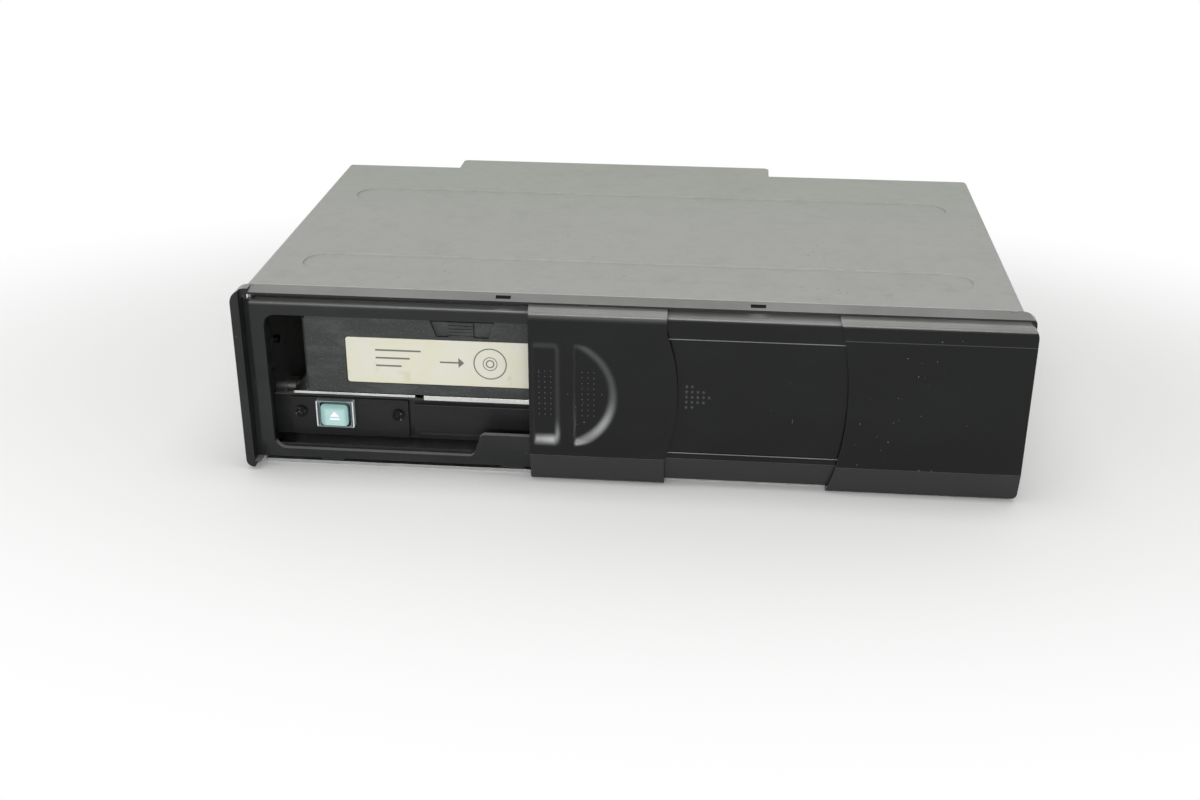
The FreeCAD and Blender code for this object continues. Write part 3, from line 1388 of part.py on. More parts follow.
drive_top = "(drive_low + drive_sheet)"
rod_z = "(drive_low + rod_height)"
pad_height = f"({drive_top} + spindle_motor_height + table_gap + table_thick)"
clamp_low = f"({pad_height} + clamp_lift)"
clamp_top = f"({clamp_low} + clamp_thick)"
lens_start = f"({spindle_y} - sled_start)"
load_y = f"({tray_back} - rack_module + rack_module * load_teeth / 2 + gear_play / 2)"
load_reach = "(rack_module * load_teeth + gear_pitch_gap)"
load_motor_x = f"(load_x + sqrt({load_reach} ^ 2 - (load_motor_y - {load_y}) ^ 2))"


def drive_plate():
    plate = block("drive_left", "drive_right", "base_front", "post_rear + 3.4", "drive_low", drive_top)
    ear = block("ear_left", "drive_left + 1", "ear_front", "ear_back", "drive_low", drive_top)
    pin = rod("Z", "gear_bore", "load_x", load_y, "drive_low", "load_low + load_thick + 0.4")
    bracket = [
        block(f"{load_motor_x} - load_motor_radius", f"{load_motor_x} + load_leg + bracket_sheet",
              "ear_front", "ear_back", "drive_low + load_bracket",
              "drive_low + load_bracket + bracket_sheet"),
        block(f"{load_motor_x} + load_leg", f"{load_motor_x} + load_leg + bracket_sheet", "ear_front",
              "ear_back", "drive_low", "drive_low + load_bracket + bracket_sheet"),
    ]
    bushes = [rod("Z", "bush_radius", x, y, "drive_low", "bush_height") for x, y in posts]
    bushes.append(rod("Z", "bush_radius", "lift_x", "post_rear", "drive_low", "bush_height"))
    stands = []
    for side in (-1, 1):
        for y in ("rod_front", "rod_back"):
            stands.append(block(f"{spindle_x} + {side} * rod_space - 2 * rod_radius",
                                f"{spindle_x} + {side} * rod_space + 2 * rod_radius", y, f"{y} + rod_stand",
                                "drive_low", f"{rod_z} + 1.6 * rod_radius"))
    for side in (-1, 1):
        start = f"{spindle_x} + {side} * hinge_half" + ("" if side > 0 else " - hinge_ear")
        stands.append(block(start, f"{start} + hinge_ear", "ear_front", "ear_back", "drive_low",
                            "drive_low + hinge_height + 2 * hinge_radius"))
    solid = fuse(plate, ear, pin, *bracket, *bushes, *stands)
    holes = [rod("Z", "post_radius + shaft_fit", x, y, "drive_low - 1", "bush_height + 2") for x, y in posts]
    holes.append(rod("Z", "lift_radius + shaft_fit", "lift_x", "post_rear", "drive_low - 1",
                     "bush_height + 2"))
    for side in (-1, 1):
        for y in ("rod_front", "rod_back"):
            holes.append(rod("Y", "rod_radius + shaft_fit", f"{spindle_x} + {side} * rod_space",
                             f"{y} - 0.5", rod_z, "rod_stand + 1"))
    holes.append(rod("Z", "gear_bore + shaft_fit", load_motor_x, "load_motor_y", f"{drive_top} + 0.1",
                     "2 * load_bracket"))
    holes.append(rod("X", "hinge_radius + shaft_fit", f"{spindle_x} - hinge_half - 2 * hinge_ear", "hinge_y",
                     "drive_low + hinge_height", "2 * hinge_half + 4 * hinge_ear"))
    return finish(cut(solid, *holes), "drive_plate")


def load_wheel():
    """The wheel that shifts a tray by its rack."""
    x, y = num("load_x"), num(load_y)
    bore = num("gear_bore + shaft_fit")
    low, foot = num("drive_low + load_low + 0.1"), num(drive_top + " + 0.1")
    wheel = involute_gear(num("rack_module"), int(num("load_teeth")), num("load_thick - 0.2"), bore, x, y,
                          low, 0)
    hub = Part.makeCylinder(num("gear_bore + 0.8"), low + 0.3 - foot, Vector(x, y, foot))
    hub = hub.cut(Part.makeCylinder(bore, num("load_low"), Vector(x, y, foot)))
    return finish(plain(wheel.fuse(hub), "LoadWheel"), "loading_wheel")


def load_angle():
    """Direction from the loading wheel to the pinion of its motor."""
    return math.atan2(num("load_motor_y - " + load_y), num(load_motor_x + " - load_x"))


def load_pinion():
    teeth = int(num("load_teeth"))
    x, y, z = num(load_motor_x), num("load_motor_y"), num("drive_low + load_low + 0.1")
    turn = (2 * load_angle() + math.pi) * teeth / (2 * math.pi) + 0.5
    gear = involute_gear(num("rack_module"), teeth, num("load_thick - 0.2"), None, x, y, z, turn)
    shaft = Part.makeCylinder(num("gear_bore"), num("load_bracket + bracket_sheet + 2 - load_low"),
                              Vector(x, y, z))
    return finish(plain(gear.fuse(shaft), "LoadPinion"), "loading_pinion")


def load_motor():
    base = "(drive_low + load_bracket + bracket_sheet)"
    can = rod("Z", "load_motor_radius", load_motor_x, "load_motor_y", base, "load_motor_height")
    socket = rod("Z", "gear_bore + shaft_fit", load_motor_x, "load_motor_y", f"{base} - 1", "3.4")
    return finish(cut(can, socket), "loading_motor")


def spindle_motor():
    can = rod("Z", "spindle_motor_radius", spindle_x, spindle_y, drive_top, "spindle_motor_height - 1")
    step = rod("Z", "spindle_motor_radius - 2", spindle_x, spindle_y, drive_top, "spindle_motor_height")
    bearing = rod("Z", "gear_bore + shaft_fit", spindle_x, spindle_y, drive_top, "2 * spindle_motor_height")
    return finish(cut(fuse(can, step), bearing), "spindle_motor")


def turntable():
    base = f"({drive_top} + spindle_motor_height + table_gap)"
    disc = rod("Z", "table_radius", spindle_x, spindle_y, base, "table_thick")
    nose = cone("cone_radius", "cone_radius - cone_height", spindle_x, spindle_y, pad_height,
                "cone_height - 0.2")
    shaft = rod("Z", "gear_bore", spindle_x, spindle_y, f"{drive_top} + 0.3",
                "spindle_motor_height + table_gap")
    return finish(fuse(disc, nose, shaft), "turntable")


def clamper():
    disc = rod("Z", "clamp_radius", spindle_x, spindle_y, clamp_low, "clamp_thick - 0.8")
    neck = rod("Z", "clamp_neck", spindle_x, spindle_y, clamp_low, "clamp_thick + arm_thick + 0.6")
    head = rod("Z", "clamp_neck + 1.2", spindle_x, spindle_y, f"{clamp_top} + arm_thick + 0.1", "0.6")
    hollow = rod("Z", "clamp_neck - 1.2", spindle_x, spindle_y, f"{clamp_low} - 1", "2")
    return finish(cut(fuse(disc, neck, head), hollow), "clamper")


def clamp_arm():
    body = new_body("ClampArm")
    half, root = "(arm_width / 2)", "(hinge_half - 0.3)"
    pad(body, "XY", clamp_top, f"{clamp_top} + arm_thick", [
        (f"{spindle_x} - {half}", f"{spindle_y} - {half}"), (f"{spindle_x} + {half}",
                                                             f"{spindle_y} - {half}"),
        (f"{spindle_x} + {half}", f"{spindle_y} + {half}"), (f"{spindle_x} + {root}", "ear_front"),
        (f"{spindle_x} + {root}", "hinge_y"), (f"{spindle_x} - {root}", "hinge_y"),
        (f"{spindle_x} - {root}", "ear_front"), (f"{spindle_x} - {half}", f"{spindle_y} + {half}")])
    barrel = rod("X", "2 * hinge_radius", f"{spindle_x} - {root}", "hinge_y", "drive_low + hinge_height",
                 f"2 * {root}")
    hole = rod("Z", "clamp_neck + shaft_fit * 4", spindle_x, spindle_y, f"{clamp_top} - 1", "arm_thick + 2")
    window = block(f"{spindle_x} - {half} / 2", f"{spindle_x} + {half} / 2", f"{spindle_y} + {half}",
                   "ear_front - 8", f"{clamp_top} - 1", f"{clamp_top} + 2 * arm_thick")
    bore = rod("X", "hinge_radius + shaft_fit", f"{spindle_x} - {root} - 1", "hinge_y",
               "drive_low + hinge_height", f"2 * {root} + 2")
    return finish(cut(fuse(body, barrel), hole, window, bore), "clamp_arm")


def hinge_pin():
    return finish(rod("X", "hinge_radius", f"{spindle_x} - hinge_half - hinge_ear - 0.4", "hinge_y",
                      "drive_low + hinge_height", "2 * (hinge_half + hinge_ear + 0.4)"), "hinge_pin")


def guide_rod():
    return finish(rod("Y", "rod_radius", f"{spindle_x} - rod_space", "rod_front", rod_z,
                      "rod_back + rod_stand - rod_front"), "guide_rod")


def sled_screw():
    x = f"({spindle_x} + rod_space)"
    shaft = rod("Y", "rod_radius", x, "rod_front", rod_z, "rod_back + rod_stand - rod_front + 3")
    rings = []
    for turn in range(int(num("sled_turns"))):
        y = f"rod_front + 2 * rod_stand + {turn} * sled_pitch"
        rings.append(cut(rod("Y", "2 * rod_radius", x, y, rod_z, "sled_pitch / 2"),
                         rod("Y", "rod_radius - thread_deep / 2", x, y, rod_z, "sled_pitch / 2")))
    return finish(cut(shaft, *rings), "sled_screw")


def sled_motor():
    x, y = f"({spindle_x} + rod_space)", "(rod_back + rod_stand + 0.6)"
    can = rod("Y", "sled_motor", x, y, rod_z, "sled_motor_length")
    foot = block(f"{x} - sled_motor", f"{x} + sled_motor", f"{y} + 1", f"{y} + sled_motor_length - 1",
                 drive_top, rod_z)
    bore = rod("Y", "rod_radius + shaft_fit", x, f"{y} - 1", rod_z, "4.6")
    return finish(cut(fuse(can, foot), bore), "sled_motor")


def pickup_sled():
    y0 = f"({lens_start} - sled_length / 2)"
    y1 = f"({lens_start} + sled_length / 2)"
    low = f"({drive_top} + sled_low - drive_sheet)"
    high = f"({drive_top} + sled_low - drive_sheet + sled_height)"
    core = block(f"{spindle_x} - sled_half", f"{spindle_x} + sled_half", y0, y1, low, high)
    lug_left = block(f"{spindle_x} - rod_space - 2 * rod_radius", f"{spindle_x} - sled_half + 1", y0, y1,
                     low, high)
    lug_right = block(f"{spindle_x} + sled_half - 1", f"{spindle_x} + rod_space + 2 * rod_radius",
                      f"{y0} + 3", f"{y1} - 3", low, high)
    holes = [rod("Y", "rod_radius + shaft_fit", f"{spindle_x} + {side} * rod_space", f"{y0} - 1", rod_z,
                 "sled_length + 2") for side in (-1, 1)]
    holes.append(rod("Z", "lens_radius + 0.5", spindle_x, lens_start, f"{low} + 1", "sled_height"))
    return finish(cut(fuse(core, lug_left, lug_right), *holes), "pickup_sled")


def lens():
    base = f"({drive_top} + sled_low - drive_sheet + 1 + lens_travel + 0.1)"
    top = f"({drive_top} + sled_low - drive_sheet + sled_height + lens_rise)"
    holder = rod("Z", "lens_radius", spindle_x, lens_start, base, f"{top} - {base}")
    dish = rod("Z", "lens_radius - 0.8", spindle_x, lens_start, f"{top} - 0.3", "1")
    return finish(cut(holder, dish), "lens")


# ---------------------------------------------------------------- electronics and fittings

def main_board():
    board = block("main_left", "main_right", "main_front", "main_back", "wall_top + 0.05",
                  "wall_top + 0.05 + board_thick")
    low = "(wall_top + 0.05)"
    chips = []
    for x, y, lx, ly, deep in board_parts:
        chips.append(block(f"main_left + {x}", f"main_left + {x + lx}", f"main_front + {y}",
                           f"main_front + {y + ly}", f"{low} - {deep}", f"{low} + 0.2"))
    holes = [rod("Z", "screw_shank + 0.4", x, y, "wall_top - 1", "4") for x, y in board_screws]
    return finish(cut(fuse(board, *chips), *holes), "main_board")


# parts hanging under the main board: place from its front left corner, size and depth
board_parts = [
    (18, 30, 14, 14, 1.6),
    (40, 34, 20, 8, 2.0),
    (70, 30, 12, 12, 1.6),
    (24, 60, 9, 16, 2.4),
    (50, 62, 24, 7, 2.0),
    (84, 60, 8, 10, 2.4),
    (30, 92, 16, 9, 2.4),
]


def board_fixings():
    screws = [pan_screw("Z", x, y, "wall_top + 0.05 + board_thick", "screw_head", "screw_rise",
                        "screw_shank - sheet_fit", "board_thick + floor_sheet", -1) for x, y in board_screws]
    return finish(group(*screws), "board_screws")


def din_socket(number):
    x = f"(socket_x + {number} * socket_space)"
    length = "(socket_back - case_back + socket_inside)"
    start = "(case_back - socket_inside)"
    barrel = rod("Y", "socket_radius", x, start, "socket_z", length)
    flange = rod("Y", "socket_radius + 1.5", x, start, "socket_z", "socket_inside - floor_sheet - 0.1")
    hollow = rod("Y", "socket_radius - 1", x, "case_back", "socket_z", "socket_back")
    key = block(f"{x} - 1.2", f"{x} + 1.2", "case_back - 1", "socket_back - 1",
                "socket_z - socket_radius + 0.5", "socket_z - socket_radius + 2")
    pins = []
    for pin in range(8):
        angle = math.radians(-35 + pin * 250 / 7)
        pins.append(rod("Y", "pin_radius", f"{x} + {math.cos(angle):.4f} * pin_circle", "case_back - 1",
                        f"socket_z + {math.sin(angle):.4f} * pin_circle", "socket_back - case_back - 1"))
    return finish(fuse(cut(fuse(barrel, flange), hollow), key, *pins), f"din_socket_{number + 1}")


def fibre_socket():
    start = "(case_back - socket_inside)"
    body = block("fibre_x - fibre_half", "fibre_x + fibre_half", start, "socket_back - 2",
                 "socket_z - fibre_half", "socket_z + fibre_half")
    flange = block("fibre_x - fibre_half - 1.5", "fibre_x + fibre_half + 1.5", start,
                   f"{start} + socket_inside - floor_sheet - 0.1", "socket_z - fibre_half - 1.5",
                   "socket_z + fibre_half + 1.5")
    ports = [rod("Y", "pin_circle / 2", f"fibre_x + {side} * fibre_half / 2", "case_back", "socket_z",
                 "socket_back")
             for side in (-1, 1)]
    return finish(cut(fuse(body, flange), *ports), "fibre_socket")


def float_dial(side):
    """Setting dial for a flat or upright mounting; it hooks one end of a suspension spring."""
    outer = rod("X", "dial_radius", "case_half" if side > 0 else "-case_half - dial_thick", "dial_y",
                "dial_z", "dial_thick")
    inside = "(sheet + sheet_fit + floor_sheet + dial_fit)"
    start = f"case_half - {inside} - dial_inner" if side > 0 else "-case_half"
    hub = rod("X", "dial_hub", start, "dial_y", "dial_z", f"{inside} + dial_inner")
    start = f"case_half - {inside} - dial_inner" if side > 0 else f"{inside} - case_half"
    flange = rod("X", "dial_flange", start, "dial_y", "dial_z", "dial_inner")
    slot_low = "case_half + dial_thick / 2" if side > 0 else "-case_half - dial_thick"
    slot = block(slot_low, f"{slot_low} + dial_thick / 2", "dial_y - 0.75 * dial_radius",
                 "dial_y + 0.75 * dial_radius", "dial_z - 0.8", "dial_z + 0.8")
    peg_start = "spring_x - peg_radius" if side > 0 else f"{inside} + dial_inner / 2 - case_half"
    peg = rod("X", "peg_radius", peg_start, "dial_y", "dial_z + peg_rise + 2 * peg_radius",
              f"case_half - {inside} - dial_inner / 2 - spring_x + peg_radius")
    return finish(cut(fuse(outer, hub, flange, peg), slot),
                  "float_dial_right" if side > 0 else "float_dial_left")


def springs():
    """Suspension springs, from a peg on each dial down to a tab of the floating frame."""
    made = []
    for side in (-1, 1):
        foot = Vector(side * num("spring_x"), num("dial_y"), num("spring_low"))
        rise = num("spring_high - spring_low")
        helix = Part.makeHelix(rise / int(num("spring_turns")), rise, num("spring_radius"))
        start = helix.Vertexes[0].Point
        section = Part.Wire([Part.makeCircle(num("spring_wire"), start, Vector(0, 1, 0))])
        coil = Part.Wire(helix.Edges).makePipeShell([section], True, True)
        coil.translate(foot)
        made.append(coil)
    return finish(plain(Part.makeCompound(made), "Springs"), "suspension_springs")


# ---------------------------------------------------------------- assembly

def build_all():
    for make in (top_cover, chassis, case_screws, front_bezel, bezel_screws, right_cover, outer_door,
                 middle_door,
                 eject_button, button_collar, key_plate, lower_plate, key_screws, switch_board,
                 magazine_base,
                 magazine_lid, magazine_label, magazine_catch, cradle, mech_frame, guide_posts, lift_screw,
                 lift_idlers, lift_pinion, lift_motor, dampers, drive_plate, load_wheel, load_pinion,
                 load_motor,
                 spindle_motor, turntable, clamper, clamp_arm, hinge_pin, guide_rod, sled_screw, sled_motor,
                 pickup_sled, lens, main_board, board_fixings, fibre_socket, springs):
        make()
    for level in range(int(num("tray_count"))):
        tray(level)
    for number in (0, 1):
        din_socket(number)
    for side in (-1, 1):
        float_dial(side)
    doc.recompute()


def check_all():
    for item in doc.Objects:
        if "Invalid" in item.State or "Error" in item.State:
            raise RuntimeError(f"{item.Name} ({item.Label}) failed: {item.State}")
    for item in subparts:
        if item.Shape.isNull() or not item.Shape.isValid():
            raise RuntimeError(f"{item.Label} has no valid shape")


build_all()
check_all()
os.makedirs("parts", exist_ok=True)
for item in subparts:
    item.Shape.exportStep(f"parts/{item.Label}.step")
print(len(subparts), "sub-parts written")
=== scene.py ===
import math

import bpy
import numpy as np
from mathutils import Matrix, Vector


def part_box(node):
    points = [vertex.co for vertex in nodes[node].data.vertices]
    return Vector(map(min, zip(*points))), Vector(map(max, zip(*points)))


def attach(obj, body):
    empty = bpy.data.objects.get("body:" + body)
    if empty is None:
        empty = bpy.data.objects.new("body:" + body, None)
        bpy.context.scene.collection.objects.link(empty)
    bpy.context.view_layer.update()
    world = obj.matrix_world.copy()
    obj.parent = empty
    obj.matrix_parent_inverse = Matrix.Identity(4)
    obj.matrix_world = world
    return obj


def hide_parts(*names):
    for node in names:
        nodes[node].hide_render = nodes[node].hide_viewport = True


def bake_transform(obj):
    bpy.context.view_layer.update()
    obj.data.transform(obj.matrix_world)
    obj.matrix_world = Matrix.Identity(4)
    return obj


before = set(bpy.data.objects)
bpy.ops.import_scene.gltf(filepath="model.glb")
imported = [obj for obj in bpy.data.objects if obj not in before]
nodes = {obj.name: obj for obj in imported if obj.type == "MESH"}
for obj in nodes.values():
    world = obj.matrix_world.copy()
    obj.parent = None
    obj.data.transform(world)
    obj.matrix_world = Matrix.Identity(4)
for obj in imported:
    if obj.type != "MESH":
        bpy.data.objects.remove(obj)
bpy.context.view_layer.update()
mm = 0.001
print("frame loaded:", len(nodes), "nodes")


# ---- colours and shader maths

def screenColour(red, green, blue):
    # the linear colour of a screen colour from 0 to 255
    share = np.array([red, green, blue]) / 255
    linear = np.where(share <= 0.04045, share / 12.92, ((share + 0.055) / 1.055) ** 2.4)
    return (*linear.tolist(), 1.0)


class Signal:
    # one socket of a shader; arithmetic on it adds Math nodes
    def __init__(self, finish, socket):
        self.finish, self.socket = finish, socket

    def combine(self, operation, first, second=None):
        values = {0: first} if second is None else {0: first, 1: second}
        return self.finish.add("ShaderNodeMath", {"operation": operation}, values)[0]

    def __add__(self, other):
        return self.combine("ADD", self, other)

    def __radd__(self, other):
        return self.combine("ADD", other, self)

    def __sub__(self, other):
        return self.combine("SUBTRACT", self, other)

    def __rsub__(self, other):
        return self.combine("SUBTRACT", other, self)

    def __mul__(self, other):
        return self.combine("MULTIPLY", self, other)

    def __rmul__(self, other):
        return self.combine("MULTIPLY", other, self)

    def __truediv__(self, other):
        return self.combine("DIVIDE", self, other)

    def __abs__(self):
        return self.combine("ABSOLUTE", self)

    def lower(self, other):
        return self.combine("MINIMUM", self, other)

    def higher(self, other):
        return self.combine("MAXIMUM", self, other)

    def ramp(self, low, high):
        # 0 below low, 1 above high, smooth between
        return self.finish.add("ShaderNodeMapRange", {"interpolation_type": "SMOOTHSTEP"},
                               {"Value": self, "From Min": low, "From Max": high, "To Min": 0.0,
                                "To Max": 1.0})[0]


class Finish:
    # a material under construction, with one Principled shader
    def __init__(self, name, colour, roughness, metallic=0.0, **constants):
        self.material = bpy.data.materials.new(name)
        self.material.use_nodes = True
        self.tree = self.material.node_tree
        self.shader = self.tree.nodes["Principled BSDF"]
        self.put(self.shader, {"Base Color": colour, "Roughness": roughness, "Metallic": metallic,
                               **constants})
        self.colour = colour

    def put(self, node, values):
        for key, value in values.items():
            if isinstance(value, Signal):
                self.tree.links.new(value.socket, node.inputs[key])
            else:
                node.inputs[key].default_value = value

    def add(self, kind, settings=None, values=None):
        # any node: its settings first, then the values or links of its sockets; returns its outputs
        node = self.tree.nodes.new(kind)
        for key, value in (settings or {}).items():
            if key == "stops":
                while len(node.color_ramp.elements) < len(value):
                    node.color_ramp.elements.new(0.5)
                for element, (place, colour) in zip(node.color_ramp.elements, value):
                    element.position, element.color = place, colour
            else:
                setattr(node, key, value)
        self.put(node, values or {})
        return [Signal(self, socket) for socket in node.outputs]

    def place(self):
        # object coordinates, whole and as three numbers
        here = self.add("ShaderNodeTexCoord")[3]
        return here, self.add("ShaderNodeSeparateXYZ", None, {0: here})

    def noise(self, here, scale, detail=3.0, roughness=0.55):
        return self.add("ShaderNodeTexNoise", None, {"Vector": here, "Scale": scale, "Detail": detail,
                                                     "Roughness": roughness})[0]

    def stretch(self, here, scales):
        return self.add("ShaderNodeMapping", None, {"Vector": here, "Scale": scales})[0]

    def blend(self, share, first, second):
        made = self.add("ShaderNodeMix", {"data_type": "RGBA"}, {0: share, 6: first, 7: second})
        return made[2]

    def specks(self, here, scale, size, sparse):
        # small round spots: where a cell's middle is near and a slow noise lets it show
        near = self.add("ShaderNodeTexVoronoi", None, {"Vector": here, "Scale": scale})[0]
        return (1 - near.ramp(size * 0.6, size)) * self.noise(here, scale * 0.13).ramp(sparse, sparse + 0.06)

    def bump(self, height, distance, strength=1.0):
        values = {"Height": height, "Distance": distance, "Strength": strength}
        self.put(self.shader, {"Normal": self.add("ShaderNodeBump", None, values)[0]})

    def drive(self, **links):
        self.put(self.shader, {key.replace("_", " "): value for key, value in links.items()})


# ---- materials

def greyPaint():
    # grey paint, warmer towards the rear, with a darker mottle and a few stains
    look = {"grey": (158, 159, 155), "rear": (152, 155, 146), "mottle": (102, 104, 98),
            "stain": (116, 112, 100), "rough": 0.46}
    made = Finish("greyPaint", screenColour(*look["grey"]), look["rough"])
    here, axes = made.place()
    cloud = made.noise(here, 22, 4)
    toRear = axes[1].ramp(-0.03, 0.09) * (0.4 + cloud)
    colour = made.blend(toRear, screenColour(*look["grey"]), screenColour(*look["rear"]))
    mottle = made.noise(here, 260, 5, 0.7).ramp(0.42, 0.68) * 0.1
    mottle = mottle + made.noise(here, 70, 3).ramp(0.5, 0.75) * 0.1
    colour = made.blend(mottle, colour, screenColour(*look["mottle"]))
    stain = made.noise(here, 42, 6, 0.66).ramp(0.67, 0.76) * 0.28 + made.specks(here, 210, 0.16, 0.58) * 0.5
    colour = made.blend(stain, colour, screenColour(*look["stain"]))
    made.drive(Base_Color=colour, Roughness=look["rough"] + cloud * 0.14 - stain * 0.1)
    made.bump(made.noise(here, 1500, 2) * 0.6 + cloud * 0.4, 0.00006, 0.5)
    return made.material


def mouldedPlastic(name, colour, rough, dustAndSheenShare=0.25, grain=0.5, creases=(), chin=0, dents=None,
                  rubbed=None):
    # black moulded plastic: a fine spark-eroded grain, faint smears, a little dust with a painted sheen on
    # faces that look up, crease lines painted paler as highlights and, below the height chin, a paler strip
    # painted as the floor's reflection; dents holds the left, low, high and floor of small dents full of
    # dust, and the last argument names a mesh attribute that is 1 where fingers have polished the plastic and
    # where a highlight is painted pale
    look = {"dustAndSheen": (150, 151, 148), "chin": (44, 44, 45), "rubbed": (140, 142, 143), "dent": (62, 63, 64),
            "creaseHighlight": (110, 111, 113), "specular": 0.24}
    made = Finish(name, screenColour(*colour), rough, **{"Specular IOR Level": look["specular"]})
    here, axes = made.place()
    smear = made.noise(made.stretch(here, (1.0, 1.0, 2.2)), 34, 4)
    fine = made.noise(here, 2600, 2)
    lighter = tuple(min(255, value * 1.35 + 6) for value in colour)
    tone = made.blend(smear.ramp(0.4, 0.75) * 0.35, screenColour(*colour), screenColour(*lighter))
    up = made.add("ShaderNodeSeparateXYZ", None, {0: made.add("ShaderNodeNewGeometry")[3]})[2]
    # faces that look up are painted paler: real dust, plus a painted sheen and highlight on the brows
    dustAndSheen = up.ramp(0.08, 0.55) * dustAndSheenShare * (0.55 + smear * 0.6) + made.specks(here, 420, 0.09, 0.55) * 0.5
    tone = made.blend(dustAndSheen, tone, screenColour(*look["dustAndSheen"]))
    # painted reflection: the strip below the chin is paler, as if it reflected the lit floor
    if chin:
        low = 1 - (axes[2] / mm).ramp(chin - 0.25, chin + 0.1)
        tone = made.blend(low, tone, screenColour(*look["chin"]))
    # the hollows' walls are painted paler: finger polish, and a painted highlight on their lower right slopes
    if rubbed:
        share = made.add("ShaderNodeAttribute", {"attribute_name": rubbed})[2]
        tone = made.blend((share * (0.75 + smear * 0.5)).lower(1.0), tone, screenColour(*look["rubbed"]))
    if dents:
        left, bottom, top, floor = dents
        full = (axes[0] / mm).ramp(left - 0.1, left) * (axes[2] / mm).ramp(bottom - 0.1, bottom) \
            * (1 - (axes[2] / mm).ramp(top, top + 0.1)) * (axes[1] / mm).ramp(floor, floor + 0.06) \
            * (1 - (axes[1] / mm).ramp(floor + 0.3, floor + 0.4))
        tone = made.blend(full, tone, screenColour(*look["dent"]))
    # painted highlights: a thin paler line along each crease, where its edge would catch the light
    for height in creases:
        line = 1 - abs(axes[2] / mm - height).ramp(0.05, 0.2)
        tone = made.blend(line * (0.12 + smear * 0.3), tone, screenColour(*look["creaseHighlight"]))
    made.drive(Base_Color=tone, Roughness=rough + smear * 0.16 - 0.06)
    made.bump(fine, 0.00005, grain)
    return made.material


def grainedPlastic(name, colour, rough):
    # the magazine's coarser grain, worn and dusty in streaks
    made = Finish(name, screenColour(*colour), rough)
    here, axes = made.place()
    grain = made.noise(here, 1300, 3, 0.7)
    wear = made.noise(made.stretch(here, (1.0, 1.0, 3.0)), 46, 5, 0.6)
    tone = made.blend(wear.ramp(0.45, 0.72) * 0.5, screenColour(*colour), screenColour(76, 80, 79))
    tone = made.blend(grain.ramp(0.52, 0.7) * 0.26, tone, screenColour(98, 101, 99))
    made.drive(Base_Color=tone, Roughness=rough + wear * 0.2)
    made.bump(grain, 0.00012, 0.7)
    return made.material


def platedSteel(name, colour, rough, brushed=(1.0, 30.0, 1.0)):
    made = Finish(name, screenColour(*colour), rough, 1.0)
    here, axes = made.place()
    lines = made.noise(made.stretch(here, brushed), 240, 4, 0.7)
    cloud = made.noise(here, 110, 5, 0.65)
    darker = tuple(value * 0.72 for value in colour)
    tone = made.blend(cloud.ramp(0.3, 0.8) * 0.35, screenColour(*colour), screenColour(*darker))
    made.drive(Base_Color=tone, Roughness=rough + lines * 0.22 - 0.08)
    made.bump(lines, 0.00003, 0.4)
    return made.material


def blackScrew():
    made = Finish("blackScrew", screenColour(30, 31, 33), 0.36, 1.0)
    here, axes = made.place()
    worn = made.noise(here, 900, 4)
    tone = made.blend(worn.ramp(0.55, 0.75), screenColour(34, 35, 37), screenColour(110, 110, 112))
    made.drive(Base_Color=tone, Roughness=0.3 + worn * 0.3)
    made.bump(worn, 0.00004, 0.5)
    return made.material


def keyPlastic():
    # milky green key with a white arrow over a bar
    look = {"cap": (176, 208, 204), "edge": (112, 152, 151), "mark": (236, 242, 244),
            "middle": (-102.7, 17.2), "half": 1.75, "rise": 2.1, "bar": 0.62}
    made = Finish("keyPlastic", screenColour(*look["cap"]), 0.22)
    here, axes = made.place()
    across = (axes[0] / mm) - look["middle"][0]
    above = (axes[2] / mm) - look["middle"][1]
    slope = abs(across) + (above - 0.25) * (look["half"] / look["rise"])
    arrow = (1 - slope.ramp(look["half"] - 0.12, look["half"] + 0.12)) * above.ramp(0.2, 0.3)
    bar = (1 - abs(across).ramp(look["half"] - 0.08, look["half"] + 0.08)) \
        * (1 - abs(above + 0.62).ramp(look["bar"] / 2 - 0.08, look["bar"] / 2 + 0.08))
    mark = arrow.higher(bar)
    cloud = made.noise(here, 500, 3)
    cap = made.blend(abs(across).ramp(2.6, 4.9).higher(above.ramp(2.2, 4.6)) * 0.75 + cloud * 0.15,
                     screenColour(*look["cap"]), screenColour(*look["edge"]))
    made.drive(Base_Color=made.blend(mark, cap, screenColour(*look["mark"])), Roughness=0.18 + cloud * 0.12)
    made.put(made.shader, {"Subsurface Weight": 0.25, "Subsurface Radius": (0.6, 1.0, 1.0),
                           "Subsurface Scale": 0.0015, "Coat Weight": 0.4})
    return made.material


